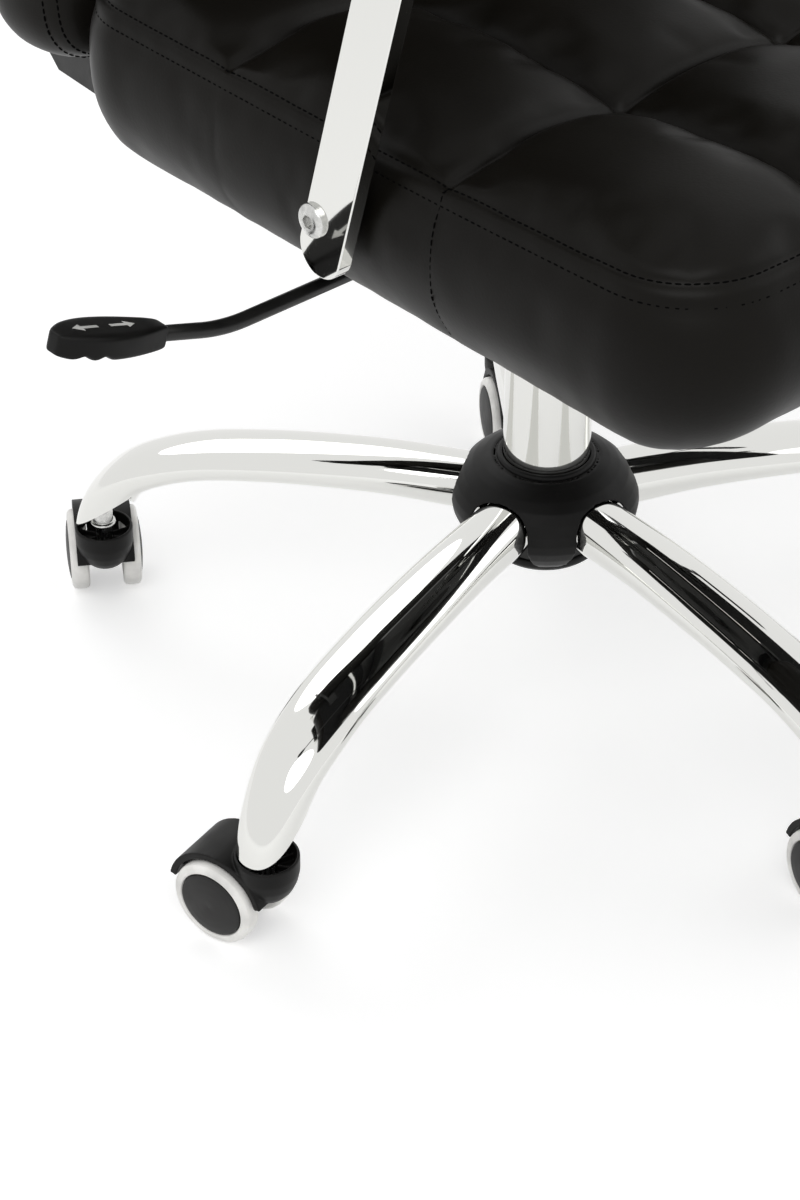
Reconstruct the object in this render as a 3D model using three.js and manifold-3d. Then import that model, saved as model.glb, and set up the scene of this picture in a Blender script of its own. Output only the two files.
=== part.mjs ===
// Reclining office chair with a pull-out footrest, in millimetres, +Z up.
// The sitter faces -Y; the column stands on x = 0, y = 0 until the last lines,
// which move the whole chair so that the middle of its box is at x = 0, y = 0.
import * as THREE from 'three';
import { mergeVertices } from 'three/addons/utils/BufferGeometryUtils.js';
import Module from 'manifold-3d';

const wasm = await Module();
wasm.setup();

// Clearances
const fitGap = 0.3;
const turnGap = 0.5;
const softGap = 3;
const weldDistance = 1e-4;
const passThrough = 60;

// Overall sizes of the upholstery, which the mechanism and the arms follow
const shellHalf = 250;
const headHalf = 238;
const cushionOverlap = 5;
const seatHalf = shellHalf + cushionOverlap;
const seatFront = -335;
const seatRear = 76;
const seamHeight = 500;
const seatDepth = 80;
const boardFoot = seamHeight - seatDepth;
const seamSharesAcross = [-1, -0.6, -0.2, 0.2, 0.6, 1];
const socketDrop = 26;
const socketTop = boardFoot - socketDrop;
const leverDrop = 30;
const leverHeight = boardFoot - leverDrop;
const leverOverhang = 30;
const leverBend = -seatHalf - leverOverhang;
const housingDepth = 62;
const housingFloor = boardFoot - housingDepth;

// Column and hub
const columnRadius = 25;
const columnFoot = 110;
const columnClearance = 63;
const columnLength = housingFloor - columnClearance - columnFoot;
const columnFloor = 12;
const rodRadius = 14;
const rodFoot = 190;
const hubRingWall = 8.4;
const hubRingHeight = 44;
const coverRadius = 54;
const coverWall = 2.5;
const coverFoot = 106;
const coverTop = 159.5;
const footDrop = 8;
const footLip = 5;
const collarEdge = 1;
const tubeEdge = 1.5;
const archGap = 1.2;
const collarWall = 3.2;
const collarHeight = 5;

// Legs: each station of the oval tube has its place, height, width and depth
const legCount = 5;
const legTurn = 122.6;
const casterReach = 275;
const rootReach = 34.2;
const legSpan = casterReach - rootReach;
const legStations = [
  [rootReach, 133, 36, 31],
  [rootReach + legSpan * 0.107, 133, 37, 30],
  [rootReach + legSpan * 0.252, 133.2, 39, 27.6],
  [rootReach + legSpan * 0.398, 131, 41, 25.5],
  [rootReach + legSpan * 0.556, 127, 42, 23.8],
  [rootReach + legSpan * 0.713, 120.5, 42, 23],
  [rootReach + legSpan * 0.83, 111, 41, 24],
  [rootReach + legSpan * 0.913, 99, 38, 25],
  [rootReach + legSpan * 0.971, 80, 34, 28],
  [casterReach, 60, 32, 32],
  [casterReach, 44, 32, 32],
];
const hollowStations = [
  [rootReach + legSpan * 0.867, 105.5, 34, 18],
  [rootReach + legSpan * 0.913, 99, 33, 19],
  [rootReach + legSpan * 0.967, 80, 29, 23],
  [casterReach, 60, 27.6, 27.6],
  [casterReach, 38, 27.6, 27.6],
];
const rimRise = 84.5;
const rimDrop = 59;
const rimInset = 16.5;
const rimOutset = 16;
const rimInner = [casterReach - rimInset, rimRise];
const rimOuter = [casterReach + rimOutset, rimDrop];
const legSides = 12;
const legSquareness = 2.3;

// Casters
const casterTurns = [57, 104.6, 80, 60, 240];
const trail = 22.5;
const wheelRadius = 25;
const wheelInner = 10.5;
const tyreWidth = 10.5;
const discDome = 2.4;
const discRadius = 19.5;
const axleRadius = 4;
const barrelRadius = 17.7;
const barrelFoot = 28;
const barrelRound = [[0.5, 1.8], [0.8, 6.5], [0.96, 13], [1, 19]];
const barrelTop = 57;
const cupRadius = 15.2;
const cupFloor = 47;
const guardRadius = 30.5;
const wellRadius = 26.5;
const webHalf = 9.7;
const guardTailAngle = 15;
const guardFaceAngle = 165;
const sleeveRadius = 6;
const sleeveFoot = 60;
const sleeveTop = 82;
const pinRadius = 5;
const pinFoot = 34.5;
const socketWall = 2;
const socketFoot = 72;

// Tilt mechanism
const pinDrop = 22;
const tiltPin = [-105, boardFoot - pinDrop];
const tiltPinRadius = 5;
const housingHalf = 78;
const housingWall = 3;
const housingBoss = 8;
const noseReach = 17;
const noseRise = 14;
const toeReach = 7;
const tailFoot = 52;
const tailReach = 66;
const tailRise = 12;
const tailTop = 30;
const noseTop = [5, 13];
const noseSide = 6;
const insideStart = [14, 15];
const insideToe = 5.5;
const insideTail = [50.7, 63];
const insideRise = 13.5;
const leverSlack = 1.5;
const plateEnds = [-130, 70];
const earHalf = 17;
const earFront = 13;
const earRear = 22;
const earDrop = 8;
const earFoot = 6;
const earSink = 1;
const pinHead = 3;
const knobEdge = 4;
const rodDrop = 2;
const plateHalf = 95;
const plateWall = 3;
const boardWall = 12;
const knobRadius = 26;
const knobHeight = 30;
const knobDrop = 36;
const knobFoot = housingFloor - knobDrop;
const knobReach = -62;
const knobStem = 5;

// Height lever
const leverReach = -75;
const leverRadius = 3.75;
const leverInner = -58;
const leverPivot = -70;
const trunnionRadius = 3;
const trunnionHalf = 9;
const runGap = 0.1;
const gripStart = 37;
const gripLength = 70;
const leverRise = 18;

// Seat
const seatCrown = 9;
const seatTuft = 10;
const seatSeamsAcross = seamSharesAcross.map((share) => share * seatHalf);
const seatSeamsAlong = [seatFront, -192.7, -46, seatRear];

// Back, built upright and then leaned
const hingeDrop = 2;
const backRise = 20;
const backHinge = [118, boardFoot - hingeDrop];
const backRoot = [150, boardFoot + backRise];
const backLean = 6;
const backSeamDepth = 60;
const backCushionHeight = 550;
const shellWall = 16;
const shellFoot = 8;
const shellTop = 735;
const headFoot = 565;
const headTop = 738;
const headSeamDepth = 72;

// Arms
const strutGap = 19;
const strutInner = shellHalf + strutGap;
const strutWall = 8;
const strutHalf = 13.25;
const armRise = 190;
const armHeight = seamHeight + armRise;
const footRise = 33;
const boltRise = 47;
const strutFoot = [-135, boardFoot + footRise];
const strutBolt = [-131.5, boardFoot + boltRise];
const strutTop = [-204, armHeight];
const railBack = [184, armHeight];
const railFront = [-215, armHeight];
const railHalf = 13;
const railWall = 8;
const boltRadius = 4;
const studCollar = 3;
const studDepth = 33;
const studSink = 1;
const railGap = 0.4;
const padOffset = 6;
const padCells = [4, 7];
const padShape = { crown: 5, tuft: 3, bulge: 3, corner: 18 };
const shellCorner = 45;
const boreSides = 12;
const studBoreDepth = 35;
const cushionInset = 2;
const backRows = 5;
const backShape = { crown: 0, tuft: 8, bulge: 6, corner: 18 };
const headShape = { crown: 10, tuft: 8, bulge: 6, corner: 40 };
const boltHeadRadius = 8.5;
const boltHeadHeight = 4;
const studRadius = 4.5;
const openClearance = 5;
const padWidth = 52;
const padClearance = 6;
const padFront = strutTop[0] + strutHalf + padClearance;
const padRear = 72;
const padHeight = 27;

// Footrest
const tubeReach = 125;
const tubeDrop = 10;
const tubeHeight = boardFoot - tubeDrop;
const tubeRadius = 6;
const frameFront = -288;
const frameRear = 70;
const guideFront = -215;
const guideRear = -95;
const restHalf = 165;
const restPlateWall = 3;
const restPadHeight = 20;
const restFront = -265;
const restRear = -135;
const sleeveHalf = 10;
const sleeveWall = 2;
const bridgeFront = -180;
const bridgeRear = -150;
const frameBend = 24;
const restDrop = 4;
const plateInset = 20;
const plateMargin = 8;
const strapInner = 45;
const strapWidth = 26;
const strapWall = 2.5;
const strapCorners = [[-3, -2.2], [5, -0.2]];
const strapToe = 8;
const strapReach = 14;
const restShape = { crown: 3, tuft: 4, bulge: 3, corner: 18 };

// Materials
function surface(color, roughness, metalness) {
  return new THREE.MeshStandardMaterial({ color, roughness, metalness });
}
const chrome = surface('#dcdcdc', 0.08, 1);
const blackPlastic = surface('#151515', 0.5, 0);
const blackSteel = surface('#191919', 0.4, 0.4);
const whiteTyre = surface('#ece9e2', 0.45, 0);
const blackLeather = surface('#131211', 0.42, 0);
const plywood = surface('#b48b5a', 0.65, 0);
const zincSteel = surface('#a9abad', 0.35, 1);

// Helpers that make closed solids
const half = 0.5;
const radians = Math.PI / 180;
const rightTurn = 90;
const fullTurn = 360;

function fromFaces(points, faces) {
  let volume = 0;
  for (let face = 0; face < faces.length; face += 3) {
    const [a, b, c] = [0, 1, 2].map((corner) => new THREE.Vector3(...points[faces[face + corner]]));
    volume += a.dot(b.cross(c));
  }
  const turned = volume < 0 ? faces.slice().reverse() : faces;
  const mesh = new wasm.Mesh({
    numProp: 3,
    vertProperties: Float32Array.from(points.flat()),
    triVerts: Uint32Array.from(turned),
  });
  return new wasm.Manifold(mesh);
}

function solid(geometry) {
  const bare = geometry.clone();
  bare.deleteAttribute('normal');
  bare.deleteAttribute('uv');
  const welded = mergeVertices(bare, weldDistance);
  const places = welded.attributes.position;
  const points = [];
  for (let row = 0; row < places.count; row += 1) {
    points.push([places.getX(row), places.getY(row), places.getZ(row)]);
  }
  const faces = [];
  for (let face = 0; face < welded.index.count; face += 3) {
    const [a, b, c] = [0, 1, 2].map((corner) => welded.index.getX(face + corner));
    if (a !== b && b !== c && c !== a) {
      faces.push(a, b, c);
    }
  }
  return fromFaces(points, faces);
}

// An outline in two coordinates and a span along the third, named by its axis
const planes = {
  x: (u, v, w) => [w, u, v],
  y: (u, v, w) => [u, w, v],
  z: (u, v, w) => [u, v, w],
};

function place(geometry, axis) {
  const spots = geometry.attributes.position;
  for (let row = 0; row < spots.count; row += 1) {
    const spot = planes[axis](spots.getX(row), spots.getY(row), spots.getZ(row));
    spots.setXYZ(row, ...spot);
  }
  return geometry;
}

function prism(axis, outline, from, to) {
  const shape = new THREE.Shape(outline.map(([u, v]) => new THREE.Vector2(u, v)));
  const block = new THREE.ExtrudeGeometry(shape, { depth: to - from, steps: 1, bevelEnabled: false });
  block.translate(0, 0, from);
  return solid(place(block, axis));
}

function turned(axis, profile, segments, centre = [0, 0]) {
  const points = profile.map(([radius, along]) => new THREE.Vector2(radius, along));
  const body = new THREE.LatheGeometry(points, segments);
  body.rotateX(rightTurn * radians);
  body.translate(centre[0], centre[1], 0);
  return solid(place(body, axis));
}

function rod(axis, centre, radius, from, to, segments) {
  return turned(axis, [[0, from], [radius, from], [radius, to], [0, to]], segments, centre);
}

function box(left, right, front, rear, foot, top) {
  return prism('z', [[left, front], [right, front], [right, rear], [left, rear]], foot, top);
}

function arc(centre, radius, from, to, steps) {
  const points = [];
  for (let step = 0; step <= steps; step += 1) {
    const angle = (from + ((to - from) * step) / steps) * radians;
    points.push([centre[0] + radius * Math.cos(angle), centre[1] + radius * Math.sin(angle)]);
  }
  return points;
}

function capsule(start, end, radius, steps) {
  const heading = Math.atan2(end[1] - start[1], end[0] - start[0]) / radians;
  return [
    ...arc(start, radius, heading + rightTurn, heading + 3 * rightTurn, steps),
    ...arc(end, radius, heading - rightTurn, heading + rightTurn, steps),
  ];
}

function roundedRect(left, right, foot, top, radius, steps) {
  return [
    ...arc([right - radius, top - radius], radius, 0, rightTurn, steps),
    ...arc([left + radius, top - radius], radius, rightTurn, 2 * rightTurn, steps),
    ...arc([left + radius, foot + radius], radius, 2 * rightTurn, 3 * rightTurn, steps),
    ...arc([right - radius, foot + radius], radius, 3 * rightTurn, fullTurn, steps),
  ];
}

function loft(rings) {
  const sides = rings[0].length;
  const faces = [];
  for (let row = 0; row < rings.length - 1; row += 1) {
    for (let side = 0; side < sides; side += 1) {
      const near = row * sides + side;
      const next = row * sides + ((side + 1) % sides);
      faces.push(near, next, next + sides, near, next + sides, near + sides);
    }
  }
  const last = (rings.length - 1) * sides;
  for (let side = 1; side < sides - 1; side += 1) {
    faces.push(0, side + 1, side, last, last + side, last + side + 1);
  }
  return fromFaces(rings.flat(), faces);
}

function power(value, exponent) {
  return Math.sign(value) * Math.abs(value) ** exponent;
}

// An oval tube in the plane of reach and height, square to its own run
function ovalTube(stations, sides, squareness) {
  const rings = stations.map(([reach, height, width, depth], row) => {
    const before = stations[Math.max(row - 1, 0)];
    const after = stations[Math.min(row + 1, stations.length - 1)];
    const run = Math.hypot(after[0] - before[0], after[1] - before[1]);
    const along = [(after[0] - before[0]) / run, (after[1] - before[1]) / run];
    const ring = [];
    for (let side = 0; side < sides; side += 1) {
      const angle = ((side + half) / sides) * fullTurn * radians;
      const across = width * half * power(Math.cos(angle), 2 / squareness);
      const up = depth * half * power(Math.sin(angle), 2 / squareness);
      ring.push([reach - along[1] * up, across, height + along[0] * up]);
    }
    return ring;
  });
  return loft(rings);
}

// A round tube through points in one plane; flat is the direction square to that plane
function roundTube(points, radius, sides, flat) {
  const rings = points.map((point, row) => {
    const spot = new THREE.Vector3(...point);
    const before = new THREE.Vector3(...points[Math.max(row - 1, 0)]);
    const after = new THREE.Vector3(...points[Math.min(row + 1, points.length - 1)]);
    const inward = row > 0 ? spot.clone().sub(before).normalize() : after.clone().sub(spot).normalize();
    const along = after.sub(before).normalize();
    const square = new THREE.Vector3(...flat);
    const cross = new THREE.Vector3().crossVectors(along, square).normalize();
    const stretch = 1 / Math.max(along.dot(inward), half);
    const ring = [];
    for (let side = 0; side < sides; side += 1) {
      const angle = (side / sides) * fullTurn * radians;
      const corner = spot.clone();
      corner.addScaledVector(square, radius * Math.cos(angle));
      corner.addScaledVector(cross, radius * stretch * Math.sin(angle));
      ring.push(corner.toArray());
    }
    return ring;
  });
  return loft(rings);
}

function union(bodies) {
  return bodies.slice(1).reduce((sum, body) => sum.add(body), bodies[0]);
}

function cutOut(body, tools) {
  return tools.reduce((rest, tool) => rest.subtract(tool), body);
}

const chair = new THREE.Group();
chair.name = 'reclining_office_chair';

function addPiece(name, body, material) {
  const raw = body.getMesh();
  const geometry = new THREE.BufferGeometry();
  geometry.setAttribute('position', new THREE.BufferAttribute(Float32Array.from(raw.vertProperties), 3));
  geometry.setIndex(new THREE.BufferAttribute(Uint32Array.from(raw.triVerts), 1));
  geometry.computeVertexNormals();
  const mesh = new THREE.Mesh(geometry, material.clone());
  mesh.name = name;
  chair.add(mesh);
}

function addPair(name, rightBody, material) {
  addPiece(`${name}_right`, rightBody, material);
  addPiece(`${name}_left`, rightBody.mirror([1, 0, 0]), material);
}

// Padded block: flat foot, sides that swell, tufts between the seams on top
function subdivide(seams, cells) {
  const stops = [seams[0]];
  for (let seam = 1; seam < seams.length; seam += 1) {
    for (let cell = 1; cell <= cells; cell += 1) {
      stops.push(seams[seam - 1] + ((seams[seam] - seams[seam - 1]) * cell) / cells);
    }
  }
  return stops;
}

function puff(value, seams, exponent) {
  const column = seams.findIndex((seam, row) => row > 0 && value <= seam);
  const upper = column < 0 ? seams.length - 1 : column;
  const share = (value - seams[upper - 1]) / (seams[upper] - seams[upper - 1]);
  return Math.abs(Math.sin(Math.PI * Math.min(Math.max(share, 0), 1))) ** exponent;
}

const sideSteps = 3;
const tuftPower = 0.6;
const footInsetShare = 0.03;

function paddedBlock(spec) {
  const { across, along, cellsAcross, cellsAlong, foot, top, crown, tuft, bulge, corner } = spec;
  const stopsAcross = subdivide(across, cellsAcross);
  const stopsAlong = subdivide(along, cellsAlong);
  const cells = [stopsAcross.length - 1, stopsAlong.length - 1];
  const block = new THREE.BoxGeometry(2, 2, 2, cells[0], cells[1], sideSteps);
  const spots = block.attributes.position;
  const middle = [stopsAcross, stopsAlong].map((stops) => (stops[0] + stops[stops.length - 1]) * half);
  const reach = [stopsAcross, stopsAlong].map((stops) => (stops[stops.length - 1] - stops[0]) * half);
  for (let row = 0; row < spots.count; row += 1) {
    const level = spots.getZ(row);
    const shares = [spots.getX(row), spots.getY(row)];
    const columns = shares.map((share, way) => Math.round((share + 1) * half * cells[way]));
    const flat = [stopsAcross[columns[0]] - middle[0], stopsAlong[columns[1]] - middle[1]];
    const over = flat.map((value, way) => Math.max(Math.abs(value) - reach[way] + corner, 0));
    const far = Math.hypot(...over);
    if (far > 0) {
      const pull = Math.max(...over) / far;
      over.forEach((value, way) => {
        if (value > 0) {
          flat[way] = Math.sign(flat[way]) * (reach[way] - corner + value * pull);
        }
      });
    }
    const rim = Math.max(Math.abs(shares[0]), Math.abs(shares[1]));
    const swell = (1 - level * level) * bulge - (level < 0 ? level * level * footInsetShare * reach[1] : 0);
    const grown = flat.map((value, way) => value * (1 + (swell * rim) / reach[way]));
    let height = foot + (top - foot) * (level + 1) * half;
    if (level > 0.99) {
      const dome = shares.reduce((product, share) => product * (1 - share * share), 1);
      const sewn = puff(flat[0] + middle[0], across, tuftPower) * puff(flat[1] + middle[1], along, tuftPower);
      height += crown * dome + tuft * sewn;
    }
    spots.setXYZ(row, grown[0] + middle[0], grown[1] + middle[1], height);
  }
  return solid(block);
}

// Hub
const columnTop = columnFoot + columnLength;
const hubRingInner = columnRadius + fitGap;
const hubRingOuter = hubRingInner + hubRingWall;
const hubRingFoot = columnFoot - 2;
const hubSegments = 24;

function hubCore() {
  const top = hubRingFoot + hubRingHeight;
  const ring = [
    [hubRingInner, hubRingFoot],
    [hubRingOuter, hubRingFoot],
    [hubRingOuter, top],
    [hubRingInner, top],
    [hubRingInner, hubRingFoot],
  ];
  return turned('z', ring, hubSegments);
}

// Shares of the cover radius and of its height, from the foot to the top opening
const coverShares = [
  [0.69, 0],
  [0.85, 0.14],
  [0.965, 0.3],
  [1, 0.43],
  [0.985, 0.54],
  [0.92, 0.7],
  [0.81, 0.85],
  [0.67, 0.96],
  [0.537, 1],
];

function hubCover() {
  const height = coverTop - coverFoot;
  const outer = coverShares.map(([wide, tall]) => [wide * coverRadius, coverFoot + tall * height]);
  const inner = outer.map(([wide, tall]) => [wide - coverWall, tall]).reverse();
  inner[0] = [outer[outer.length - 1][0], outer[outer.length - 1][1] - coverWall];
  const shell = turned('z', [...outer, ...inner, outer[0]], hubSegments + 2);
  const [root, next] = legStations;
  const archHalf = next[2] * half + archGap;
  const archRise = root[3] * half + archGap;
  const arch = [[-archHalf, coverFoot - collarHeight], ...archTop(archHalf, next[1], archRise)];
  arch.push([archHalf, coverFoot - collarHeight]);
  const slot = prism('x', arch, columnRadius, coverRadius + collarHeight);
  return cutOut(shell, legAngles().map((angle) => slot.rotate([0, 0, angle])));
}

function archTop(reach, middle, rise) {
  const points = [];
  const steps = 8;
  for (let step = 0; step <= steps; step += 1) {
    const angle = (2 * rightTurn - (2 * rightTurn * step) / steps) * radians;
    const across = reach * power(Math.cos(angle), 2 / legSquareness);
    points.push([across, middle + rise * power(Math.sin(angle), 2 / legSquareness)]);
  }
  return points;
}

function hubUnderside() {
  const top = hubRingFoot - fitGap;
  const rim = coverShares[0][0] * coverRadius - coverWall - fitGap;
  const profile = [[0, top - footDrop], [rim - footLip, top - footDrop], [rim, top], [0, top]];
  return turned('z', profile, hubSegments);
}

function columnCollar() {
  const foot = coverTop - collarHeight + collarWall * half;
  const inner = columnRadius + fitGap;
  const outer = coverShares[coverShares.length - 1][0] * coverRadius - fitGap;
  const ring = [
    [inner, foot],
    [outer, foot],
    [outer, foot + collarHeight - collarEdge],
    [outer - collarEdge, foot + collarHeight],
    [inner, foot + collarHeight],
    [inner, foot],
  ];
  return turned('z', ring, hubSegments);
}

function columnTube() {
  const bore = rodRadius + turnGap;
  const profile = [
    [0, columnFoot],
    [columnRadius, columnFoot],
    [columnRadius, columnTop - tubeEdge],
    [columnRadius - tubeEdge, columnTop],
    [bore, columnTop],
    [bore, columnFoot + columnFloor],
    [0, columnFoot + columnFloor],
  ];
  return turned('z', profile, hubSegments + 4);
}

function legAngles() {
  return Array.from({ length: legCount }, (unused, leg) => legTurn + (leg * fullTurn) / legCount);
}

function leg() {
  const tube = ovalTube(legStations, legSides, legSquareness);
  const hollow = ovalTube(hollowStations, legSides, legSquareness);
  const below = rimOuter[1] - passThrough;
  const rim = [
    [rimInner[0] - fitGap, below],
    rimInner,
    rimOuter,
    [rimOuter[0] + barrelRadius, rimOuter[1] - barrelRadius],
    [rimOuter[0] + barrelRadius, below],
  ];
  const cut = prism('y', rim, -passThrough, passThrough);
  const centre = [casterReach, 0];
  const socketRadius = sleeveRadius + fitGap + socketWall;
  const socket = rod('z', centre, socketRadius, socketFoot, sleeveTop + barrelRadius, 12);
  const bore = rod('z', centre, sleeveRadius + fitGap, 0, sleeveTop + turnGap, 12);
  return cutOut(tube, [hollow, cut]).add(socket.intersect(tube)).subtract(bore);
}

// Casters, with the swivel axis on x = 0, y = 0 and the wheels trailing towards +X
const axle = [trail, wheelRadius];

function casterHood() {
  const barrelSegments = 16;
  const barrel = turned('z', [
    [0, barrelFoot],
    ...barrelRound.map(([share, rise]) => [barrelRadius * share, barrelFoot + rise]),
    [barrelRadius, barrelTop],
    [0, barrelTop],
  ], barrelSegments);
  const tailArc = arc(axle, guardRadius, guardTailAngle, guardFaceAngle, 9);
  const pie = prism('y', [axle, ...tailArc], -barrelRadius, barrelRadius);
  const nose = rod('y', axle, axleRadius + socketWall, -webHalf, webHalf, 12);
  const well = rod('y', axle, wellRadius, webHalf, passThrough, 18);
  const tip = wheelInner + tyreWidth - fitGap;
  const pin = rod('y', axle, axleRadius, -tip, tip, 10);
  const cup = rod('z', [0, 0], cupRadius, cupFloor, passThrough, barrelSegments);
  const bore = rod('z', [0, 0], pinRadius + fitGap, pinFoot - turnGap, passThrough, 12);
  const hood = cutOut(union([barrel, pie, nose]), [well, well.mirror([0, 1, 0])]);
  return cutOut(hood.add(pin), [cup, bore]);
}

function casterStem() {
  return turned('z', [
    [0, pinFoot],
    [pinRadius, pinFoot],
    [pinRadius, sleeveFoot],
    [sleeveRadius, sleeveFoot],
    [sleeveRadius, sleeveTop],
    [0, sleeveTop],
  ], 12);
}

function casterWheel() {
  const bore = axleRadius + fitGap;
  const outer = wheelInner + tyreWidth;
  const shoulder = 1.2;
  return turned('y', [
    [bore, wheelInner],
    [wheelRadius - shoulder, wheelInner],
    [wheelRadius, wheelInner + shoulder],
    [wheelRadius, outer - shoulder],
    [wheelRadius - shoulder, outer],
    [discRadius, outer],
    [0, outer + discDome],
    [0, outer],
    [bore, outer],
    [bore, wheelInner],
  ], 18, axle);
}

function addBase() {
  addPiece('hub_core', hubCore(), blackSteel);
  addPiece('hub_cover', hubCover(), blackPlastic);
  addPiece('hub_underside', hubUnderside(), blackPlastic);
  addPiece('column_tube', columnTube(), chrome);
  addPiece('column_collar', columnCollar(), blackPlastic);
  const legBody = leg();
  const parts = [['hood', casterHood(), blackPlastic], ['stem', casterStem(), chrome]];
  const wheel = casterWheel();
  parts.push(['wheel_left', wheel, whiteTyre], ['wheel_right', wheel.mirror([0, 1, 0]), whiteTyre]);
  legAngles().forEach((angle, row) => {
    addPiece(`leg_${row + 1}`, legBody.rotate([0, 0, angle]), chrome);
    const spot = [casterReach * Math.cos(angle * radians), casterReach * Math.sin(angle * radians), 0];
    parts.forEach(([name, body, material]) => {
      const set = body.rotate([0, 0, casterTurns[row]]).translate(spot);
      addPiece(`caster_${row + 1}_${name}`, set, material);
    });
  });
}

// Lift rod and tilt mechanism
function tiltHousing() {
  const floor = housingFloor + housingWall;
  const outline = [
    [tiltPin[0] - noseReach, housingFloor + noseRise],
    [tiltPin[0] - toeReach, housingFloor],
    [tailFoot, housingFloor],
    [tailReach, housingFloor + tailRise],
    [tailReach, housingFloor + tailTop],
    [tiltPin[0] + noseTop[0], tiltPin[1] + noseTop[1]],
    [tiltPin[0] - noseReach, tiltPin[1] + noseSide],
  ];
  const inside = [
    [tiltPin[0] - insideStart[0], housingFloor + insideStart[1]],
    [tiltPin[0] - insideToe, floor],
    [insideTail[0], floor],
    [insideTail[1], housingFloor + insideRise],
    [insideTail[1], housingFloor + passThrough],
    [tiltPin[0] - insideStart[0], housingFloor + passThrough],
  ];
  const block = prism('x', outline, -housingHalf, housingHalf);
  const room = prism('x', inside, housingWall - housingHalf, housingHalf - housingWall);
  const socket = rod('z', [0, 0], rodRadius + housingBoss, housingFloor, socketTop, hubSegments);
  const well = rod('z', [0, 0], rodRadius + fitGap, 0, socketTop + passThrough, hubSegments);
  const pinHole = rod('x', tiltPin, tiltPinRadius + fitGap, -plateHalf, plateHalf, 14);
  const leverHole = rod('x', [leverReach, leverHeight], leverRadius + leverSlack, -plateHalf, 0, 12);
  const knobHole = rod('z', [0, knobReach], knobStem + fitGap, 0, housingFloor + housingBoss, 12);
  const solidParts = union([block.subtract(room), socket, leverLug(1), leverLug(-1)]);
  const trunnionHole = rod('y', leverAxis, trunnionRadius + runGap, ...leverSpan(trunnionHalf + fitGap), 12);
  return cutOut(solidParts, [well, pinHole, leverHole, knobHole, trunnionHole]);
}

// The lever turns on a short cross pin between two lugs inside the housing
const leverAxis = [leverPivot, leverHeight];

function leverSpan(reach) {
  return [leverReach - reach, leverReach + reach];
}

function leverLug(way) {
  const inner = leverRadius + 2 * turnGap;
  const ends = [leverReach + way * inner, leverReach + way * (trunnionHalf + fitGap)].sort((a, b) => a - b);
  const reach = trunnionRadius * 2;
  const foot = housingFloor + housingWall - half;
  return box(-housingHalf + half, leverPivot + reach, ...ends, foot, leverHeight + reach);
}

const flangeInner = housingHalf + 1;
const plateTop = boardFoot - fitGap;
const plateFoot = plateTop - plateWall;

function seatPlate() {
  const top = box(-plateHalf, plateHalf, ...plateEnds, plateFoot, plateTop);
  const ear = [
    [tiltPin[0] - earHalf, plateTop - earSink],
    [tiltPin[0] - earFront, tiltPin[1] - earDrop],
    [tiltPin[0] - earFoot, tiltPin[1] - earFront],
    [tiltPin[0] + earFoot, tiltPin[1] - earFront],
    [tiltPin[0] + earFront, tiltPin[1] - earDrop],
    [tiltPin[0] + earRear, plateTop - earSink],
  ];
  const right = prism('x', ear, -flangeInner - plateWall, -flangeInner);
  const hole = rod('x', tiltPin, tiltPinRadius + fitGap, -plateHalf, plateHalf, 14);
  return cutOut(union([top, right, right.mirror([1, 0, 0])]), [hole]);
}

function tiltPinBody() {
  const reach = flangeInner + plateWall + fitGap;
  const headRadius = tiltPinRadius + pinHead;
  return turned('x', [
    [0, -reach - pinHead],
    [headRadius, -reach - pinHead],
    [headRadius, -reach],
    [tiltPinRadius, -reach],
    [tiltPinRadius, reach],
    [headRadius, reach],
    [headRadius, reach + pinHead],
    [0, reach + pinHead],
  ], 14, tiltPin);
}

function tensionKnob() {
  return turned('z', [
    [0, knobFoot],
    [knobRadius - knobEdge, knobFoot],
    [knobRadius, knobFoot + knobEdge],
    [knobRadius, knobFoot + knobHeight - knobEdge],
    [knobRadius - knobEdge, knobFoot + knobHeight],
    [knobStem, knobFoot + knobHeight],
    [knobStem, housingFloor + knobEdge],
    [0, housingFloor + knobEdge],
  ], 18, [0, knobReach]);
}

// Height lever
const rise = [-Math.cos(leverRise * radians), Math.sin(leverRise * radians)];

function leverSpot(distance) {
  return [leverBend + rise[0] * distance, leverReach, leverHeight + rise[1] * distance];
}

const boreDepth = 45;

function leverRod() {
  const points = [[leverInner, leverReach, leverHeight]];
  const bend = 14;
  const steps = 4;
  for (let step = 0; step <= steps; step += 1) {
    const share = step / steps;
    const start = [leverBend + bend, leverReach, leverHeight];
    const end = leverSpot(bend);
    const ease = [(1 - share) ** 2, 2 * share * (1 - share), share ** 2];
    const corner = [leverBend, leverReach, leverHeight];
    points.push(corner.map((value, way) => ease[0] * start[way] + ease[1] * value + ease[2] * end[way]));
  }
  points.push(leverSpot(gripStart + boreDepth - 1));
  const crossPin = rod('y', leverAxis, trunnionRadius, ...leverSpan(trunnionHalf), 12);
  return roundTube(points, leverRadius, 10, [0, 1, 0]).add(crossPin);
}

// Distance along the grip, width, thickness above and below its middle
const gripStations = [
  [0, 11, 5.2, 5.2],
  [5, 13, 5.8, 5.8],
  [16, 18, 6, 6],
  [27, 22, 6, 6],
  [36, 25, 6, 6],
  [42, 25.5, 6, 6],
  [47, 25, 6, 4.4],
  [52, 24, 5.8, 6],
  [57, 22.5, 5.5, 4.4],
  [63, 19, 5, 6],
  [gripLength, 9, 4, 5],
];

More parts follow.
